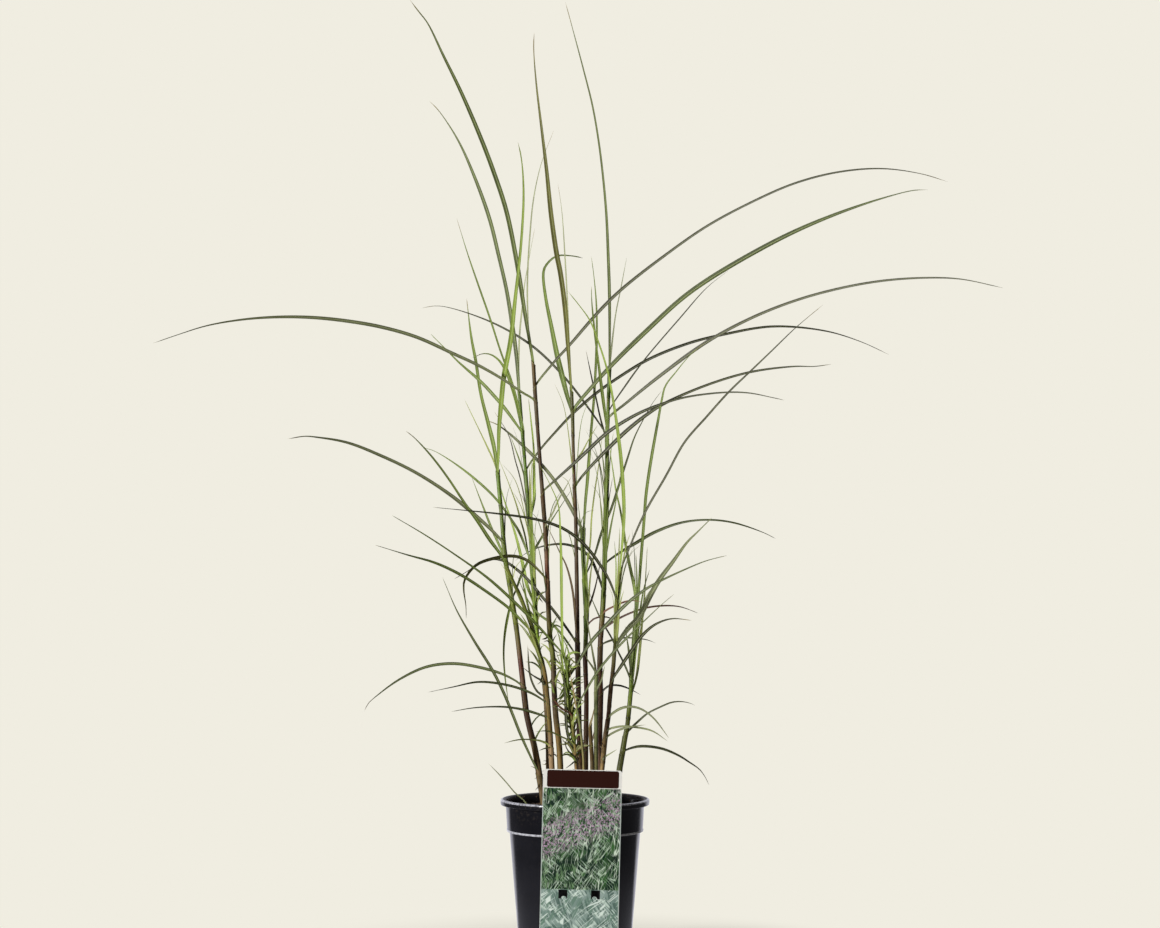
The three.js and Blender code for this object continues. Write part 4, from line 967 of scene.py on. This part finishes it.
# Painted highlight: a pale line, broken up by grain, along the bead below the collar.
beading = node(tree, "Math", {0: height, 1: BEAD_MIDDLE, 2: BEAD_HALF}, operation="COMPARE").outputs[0]
painted_bead_highlight = math(tree, "MULTIPLY", beading, ramp(tree, grain, 0.3, 0.6, 0.45, 0.95))
colour = blend(tree, painted_bead_highlight, colour, linear((178, 178, 186)))
flat = node(tree, "VectorMath", {0: place, 1: (1, 1, 0)}, operation="MULTIPLY").outputs[0]
radius = node(tree, "VectorMath", {0: flat}, operation="LENGTH").outputs["Value"]
# Painted highlight: a pale line, broken up by grain, along the outer top edge of the lip.
edge = math(tree, "MULTIPLY", ramp(tree, height, 0.1776, 0.1784), ramp(tree, radius, 0.0832, 0.0838))
painted_lip_highlight = math(tree, "MULTIPLY", edge, ramp(tree, grain, 0.35, 0.6, 0.3, 0.9))
colour = blend(tree, painted_lip_highlight, colour, linear((170, 170, 178)))
on_lip = math(tree, "GREATER_THAN", height, LIP_FOOT)
handled = math(tree, "MULTIPLY", ramp(tree, radius, 0.081, 0.083, 1.0, 0.0), on_lip)
colour = blend(tree, handled, colour, linear((30, 27, 28)))
dust = math(tree, "MAXIMUM", dust, handled)
rough = math(tree, "ADD", ramp(tree, patch, 0, 1, 0.1, 0.2), math(tree, "MULTIPLY", dust, 0.5), True)
connect(tree, shader, colour, rough, grain, 0.0002, 0.1)

pot = make_piece("pot_shell", [surface(turned(rounded(POT_WALL)))], [pot_finish])
drill_holes(pot)
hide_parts("pot")
print("pot corners after drilling:", len(pot.data.vertices))

# %% [markdown]
# ## The soil
# Potting soil is peat and bark that has been watered and has sunk a little below the rim. From above
# it is a bed of crumbs of many sizes. A disc of points gets the low mound of the CAD solid, and
# hundreds of half balls are pressed up through it. Loose crumbs, as lumpy balls with few faces, lie on
# top and stick to the pot's wall above it, with some pale fibres between them.

# %% Soil, crumbs and fibres
SOIL_EDGE = 166.5
SOIL_MOUND = 4.5
SOIL_REACH = 77.4
WALL_REACH = 77.2
BED_SINK = 1.2
LUMP_SINK = 1.4
LUMPS, LOOSE_CRUMBS, WALL_CRUMBS, STRANDS = 700, 420, 240, 60


def scattered(reach):
    """A random place on the disc, as likely at any spot of it."""
    distance, turn = reach * np.sqrt(chance.uniform()), chance.uniform(0, 2 * np.pi)
    return distance * np.cos(turn), distance * np.sin(turn)


def soil_top(x, y):
    """The low mound: a parabola in the distance from the middle."""
    return SOIL_EDGE + SOIL_MOUND * (1 - (x**2 + y**2) / SOIL_REACH**2)


def soil_surface():
    """The soil as one closed body of rings: floor, side, and a top lumped by half balls."""
    floor = np.array([[2.0, 2.6], [60.8, 2.6], [72.6, 143.0], [75.2, 148.0]])
    radii = np.linspace(76.0, 1.2, 78)
    top = turned(np.stack([radii, 0 * radii], 1), 288)
    x, y = top[..., 0], top[..., 1]
    z = soil_top(x, y) - BED_SINK
    for _ in range(LUMPS):
        size = chance.uniform(0.9, 3.4) ** 1.2
        cx, cy = scattered(74)
        reach = size**2 - (x - cx) ** 2 - (y - cy) ** 2
        lump = soil_top(cx, cy) - LUMP_SINK + np.sqrt(np.maximum(reach, 0)) * 0.6
        z = np.maximum(z, lump - (reach <= 0) * 9)
    top[..., 2] = z
    return surface(np.vstack([turned(floor, 288), top]))


def crumb(x, y, z, size):
    """A lumpy ball of 4 rings of 7 points, whose radius changes by up to a third."""
    tilt = np.radians([25, 70, 115, 158])[:, None]
    turn = angles(7)
    r = size * chance.uniform(0.65, 1.05, (4, 7))
    flat = chance.uniform(0.6, 0.95)
    wide = r * np.sin(tilt)
    points = np.stack([wide * np.cos(turn), wide * np.sin(turn), -r * np.cos(tilt) * flat], -1)
    return surface(points + [x, y, z], linear((58, 42, 30)) * chance.uniform(0.4, 1.5))


def strand(x, y, z, length, radius, tone):
    """A thin fibre that lies on the soil: a gently curling line with rings of 5 points."""
    s = np.linspace(0, 1, 12)
    heading = chance.uniform(0, 2 * np.pi) + np.cumsum(chance.normal(0, 0.16, 12))
    step = length / 12 * np.stack([np.cos(heading), np.sin(heading), 0.1 * np.sin(5 * s)], -1)
    centre = np.array([x, y, z]) + np.cumsum(step, axis=0)
    _, side, back = frames(centre)
    turn = angles(5)[:, None]
    ring = side[:, None] * np.cos(turn) + back[:, None] * np.sin(turn)
    thick = (radius * np.sin(np.pi * np.clip(s, 0.08, 0.92)))[:, None, None]
    return surface(centre[:, None] + thick * ring, tone)


soil_finish, tree, shader = start_finish("damp potting soil", Specular_IOR_Level=0.3)
place = node(tree, "TexCoord").outputs["Object"]
patch, grain = use_group(tree, patches, {"Place": place, "Size": 90.0})
colour = blend(tree, patch, linear((20, 15, 12)), linear((62, 45, 33)))
colour = blend(tree, ramp(tree, grain, 0.58, 0.72, 0, 0.6), colour, linear((104, 78, 54)))
connect(tree, shader, colour, ramp(tree, grain, 0.2, 0.8, 0.7, 0.98), grain, 0.001, 0.8)

crumb_finish, tree, shader = start_finish("soil crumbs", Specular_IOR_Level=0.3)
tone = node(tree, "Attribute", attribute_name="tone").outputs["Color"]
patch, grain = use_group(tree, patches, {"Place": node(tree, "TexCoord").outputs["Object"], "Size": 120.0})
colour = blend(tree, 0.8, tone, ramp(tree, grain, 0.3, 0.7, 0.45, 1.5), "MULTIPLY")
connect(tree, shader, colour, ramp(tree, patch, 0, 1, 0.75, 0.98), grain, 0.0008, 0.8)

soil = make_piece("soil_bed", [soil_surface()], [soil_finish])
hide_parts("soil")
litter = []
for _ in range(LOOSE_CRUMBS):
    x, y = scattered(73)
    size = chance.uniform(0.7, 2.4)
    litter.append(crumb(x, y, soil_top(x, y) + size * 0.5, size))
for _ in range(WALL_CRUMBS):
    turn, z = chance.uniform(0, 2 * np.pi), 166 + 13 * chance.uniform() ** 1.5
    size = chance.uniform(0.4, 1.3)
    litter.append(crumb(WALL_REACH * np.cos(turn), WALL_REACH * np.sin(turn), z, size))
for _ in range(STRANDS):
    x, y = scattered(60)
    tone = linear(LEAF_TONES["dry"]) * chance.uniform(0.3, 1.0)
    length, thick = chance.uniform(6, 18), chance.uniform(0.2, 0.45)
    litter.append(strand(x, y, soil_top(x, y) + 1.6, length, thick, tone))
crumbs = make_piece("soil_crumbs", litter, [crumb_finish])

# %% [markdown]
# ## The picture card
# The card is a flat die-cut sheet with a tongue that hooks over the rim and two square hanging slots.
# Its CAD solid already has that shape, so it stays and only gets its print. The print is worked out
# from the place on the card: a brown head band, a meadow of crossing grass blades with a slanting
# drift of lilac specks, and a pale sage foot.

# %% The card's print
CARD_MIDDLE = (7.8 * MM, 0, RIM_TOP * MM)
CARD_TILT = np.radians(1.42)
CARD_FRONT = -86.3 * MM
HEAD_MIDDLE = (0.6 * MM, 30.2 * MM)
HEAD_HALF = (40.1 * MM, 9.6 * MM)
HEAD_CORNER = 2.5 * MM
BORDER_FOOT = 19.9 * MM
BORDER_SIDE = 43 * MM
SAGE_TOP = (-93.5 * MM, -92.5 * MM)
MEADOW = [
    (0.5, 420, 40, 0.2, (16, 34, 26)), (-0.35, 400, 36, 0.1, (54, 94, 48)),
    (0.1, 430, 34, 0.18, (18, 40, 30)), (0.28, 380, 28, 0.06, (104, 134, 96)),
    (-0.6, 330, 24, 0.045, (172, 190, 168)), (0.8, 290, 22, 0.04, (160, 180, 160)),
    (-0.12, 300, 24, 0.035, (194, 208, 190)),
]
FOOT = [
    (0.3, 340, 14, 0.18, (78, 100, 92)), (0.7, 290, 14, 0.07, (180, 196, 186)),
    (-0.5, 340, 14, 0.12, (100, 126, 112)), (-0.9, 250, 14, 0.05, (202, 214, 206)),
]

blades, group_in, group_out = start_group(
    "Drawn blades",
    [("Place", "Vector", None), ("Turn", "Float", 0.0), ("Width", "Float", 900.0),
     ("Length", "Float", 45.0), ("Line", "Float", 0.02)],
    [("Mask", "Float")],
)
turned_place = node(blades, "VectorRotate", {"Vector": group_in.outputs["Place"],
                                             "Angle": group_in.outputs["Turn"]}, rotation_type="Y_AXIS")
sizes = node(blades, "CombineXYZ", {0: group_in.outputs["Width"], 2: group_in.outputs["Length"]})
drawn = node(blades, "VectorMath", {0: turned_place.outputs[0], 1: sizes.outputs[0]}, operation="MULTIPLY")
cells = node(blades, "TexVoronoi", {"Vector": drawn.outputs[0], "Scale": 1.0}, feature="DISTANCE_TO_EDGE")
edge = math(blades, "DIVIDE", cells.outputs["Distance"], group_in.outputs["Line"])
broken = node(blades, "TexNoise", {"Vector": turned_place.outputs[0], "Scale": 90.0, "Detail": 1.0})
gaps = ramp(blades, broken.outputs[0], 0.45, 0.55)
stroke = math(blades, "MULTIPLY", ramp(blades, edge, 0.5, 1.0, 1.0, 0.0), gaps)
blades.links.new(stroke, group_out.inputs["Mask"])


def sketched(tree, place, colour, layers):
    """Draws layers of blades over a colour: turn, fineness across and along, line, tint."""
    for turn, wide, tall, line, tint in layers:
        mask = use_group(tree, blades, {"Place": place, "Turn": turn, "Width": wide, "Length": tall,
                                        "Line": line})[0]
        colour = blend(tree, mask, colour, linear(tint))
    return colour


def beyond(tree, place, middle, half):
    """How far a place lies past the straight part of the head band's side, and 0 before that."""
    away = math(tree, "ABSOLUTE", math(tree, "SUBTRACT", place, middle))
    return math(tree, "MAXIMUM", math(tree, "SUBTRACT", away, half - HEAD_CORNER), 0.0)


card_finish, tree, shader = start_finish("printed card", Specular_IOR_Level=0.2, Coat_Roughness=0.15)
object_place = node(tree, "TexCoord").outputs["Object"]
card_place = node(tree, "Mapping", {"Vector": object_place, "Location": CARD_MIDDLE,
                                    "Rotation": (0, CARD_TILT, 0)}, vector_type="TEXTURE").outputs[0]
split = node(tree, "SeparateXYZ", {0: card_place})
card_x, card_z = split.outputs[0], split.outputs[2]
patch, grain = use_group(tree, patches, {"Place": card_place, "Size": 70.0})
colour = blend(tree, ramp(tree, card_z, -0.085, 0.015), linear((18, 40, 24)), linear((72, 97, 62)))
colour = blend(tree, ramp(tree, grain, 0.35, 0.6, 0, 0.7), colour, linear((26, 44, 34)))
colour = blend(tree, ramp(tree, patch, 0.3, 0.9, 0, 0.5), colour, linear((76, 104, 76)))
colour = sketched(tree, card_place, colour, MEADOW)
slant = math(tree, "ADD", card_z, math(tree, "MULTIPLY", card_x, -0.45))
drift = math(tree, "MULTIPLY", ramp(tree, slant, -0.05, -0.03), ramp(tree, slant, -0.012, 0.008, 1, 0))
specks = node(tree, "TexVoronoi", {"Vector": card_place, "Scale": 420.0})
lilac = blend(tree, ramp(tree, grain, 0.35, 0.65), linear((188, 156, 184)), linear((122, 106, 116)))
speck_mask = math(tree, "MULTIPLY", ramp(tree, specks.outputs["Distance"], 0.35, 0.6, 1, 0), drift)
colour = blend(tree, math(tree, "MULTIPLY", speck_mask, 0.85), colour, lilac)
sage = blend(tree, patch, linear((112, 134, 126)), linear((142, 158, 152)))
sage = sketched(tree, card_place, sage, FOOT)
colour = blend(tree, ramp(tree, card_z, *SAGE_TOP), sage, colour)
at_side = math(tree, "GREATER_THAN", math(tree, "ABSOLUTE", card_x), BORDER_SIDE)
margin = math(tree, "MAXIMUM", math(tree, "GREATER_THAN", card_z, BORDER_FOOT), at_side)
pale = blend(tree, ramp(tree, card_z, 0.01, 0.02), linear((168, 178, 172)), linear((222, 220, 214)))
colour = blend(tree, margin, colour, pale)
past = node(tree, "CombineXYZ", {0: beyond(tree, card_x, HEAD_MIDDLE[0], HEAD_HALF[0]),
                                 1: beyond(tree, card_z, HEAD_MIDDLE[1], HEAD_HALF[1])})
reach = node(tree, "VectorMath", {0: past.outputs[0]}, operation="LENGTH").outputs["Value"]
colour = blend(tree, math(tree, "LESS_THAN", reach, HEAD_CORNER), colour, linear((44, 17, 10)))
depth = node(tree, "SeparateXYZ", {0: object_place}).outputs[1]
front = math(tree, "LESS_THAN", depth, CARD_FRONT)
colour = blend(tree, front, linear((214, 216, 212)), colour)
connect(tree, shader, colour, ramp(tree, grain, 0.2, 0.8, 0.3, 0.42), grain, 0.0001, 0.1)
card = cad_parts["label"]
card.data.materials.clear()
card.data.materials.append(card_finish)
print("the card keeps its CAD solid with", len(card.data.polygons), "faces")

# %% [markdown]
# ## Floor, backdrop and light
# The photograph is a cut-out on plain cream. A wide round cove gives the same cream from every side.
# Its wall glows for the camera and for reflections, which draws the pale lines along the pot's
# outline, and gives only a little light itself, so the low key light at the left can leave each cane
# one bright and one dark side.

# %% Stage and lights
CREAM = linear((240, 237, 225))
stage_finish, tree, shader = start_finish("cream cove", Roughness=0.9)
shader.inputs["Base Color"].default_value = (*CREAM * 0.86, 1)
split = node(tree, "SeparateXYZ", {0: node(tree, "TexCoord").outputs["Object"]})
flat_place = node(tree, "CombineXYZ", {0: split.outputs[0], 1: split.outputs[1]})
away = node(tree, "VectorMath", {0: flat_place.outputs[0]}, operation="LENGTH").outputs["Value"]
path = node(tree, "LightPath")
camera_ray, glossy_ray = path.outputs["Is Camera Ray"], path.outputs["Is Glossy Ray"]
backwards = math(tree, "DIVIDE", split.outputs[1], away)
mirrored = math(tree, "MAXIMUM", ramp(tree, backwards, 0.7, 0.84, 0.1, 1.2),
                ramp(tree, away, 0.1, 0.5, 0.4, 0.1))
lighting = ramp(tree, split.outputs[0], -3.5, 3.5, 0.3, 0.1)
hidden = node(tree, "Mix", {0: glossy_ray, 2: lighting, 3: mirrored}).outputs[0]
strength = node(tree, "Mix", {0: camera_ray, 2: hidden, 3: 1.0}).outputs[0]
tint = blend(tree, glossy_ray, CREAM, linear((226, 226, 238)))
glow = node(tree, "Emission", {"Color": tint, "Strength": strength})
glowing = math(tree, "MAXIMUM", ramp(tree, away, 0.12, 0.4), glossy_ray)
wall = node(tree, "MixShader", {0: glowing, 1: shader.outputs[0], 2: glow.outputs[0]})
tree.links.new(wall.outputs[0], tree.nodes["Material Output"].inputs["Surface"])

cove_profile = rounded([(5, 0, 0), (6500, 0, 1500), (6500, 6000, 0)], 24)
cove = make_piece("cove", [surface(turned(cove_profile, 96)[:, ::-1])], [stage_finish], None)


def area_light(name, place, aim, size, power):
    """A square lamp at a place, turned towards a point."""
    lamp = bpy.data.objects.new(name, bpy.data.lights.new(name, "AREA"))
    lamp.data.size, lamp.data.energy = size, power
    lamp.location = place
    towards = np.subtract(aim, place)
    lamp.rotation_euler = (np.arctan2(np.hypot(towards[0], towards[1]), -towards[2]), 0,
                           np.arctan2(-towards[0], towards[1]))
    bpy.context.collection.objects.link(lamp)


area_light("key", (-2.6, -2.3, 1.2), (0, 0, 0.55), 0.9, 165)
area_light("top", (0.2, 0.5, 3.4), (0, 0, 0.4), 1.4, 45)
world = bpy.data.worlds.new("studio")
world.use_nodes = True
world.node_tree.nodes["Background"].inputs[0].default_value = (*CREAM, 1)
world.node_tree.nodes["Background"].inputs[1].default_value = 0.3
bpy.context.scene.world = world
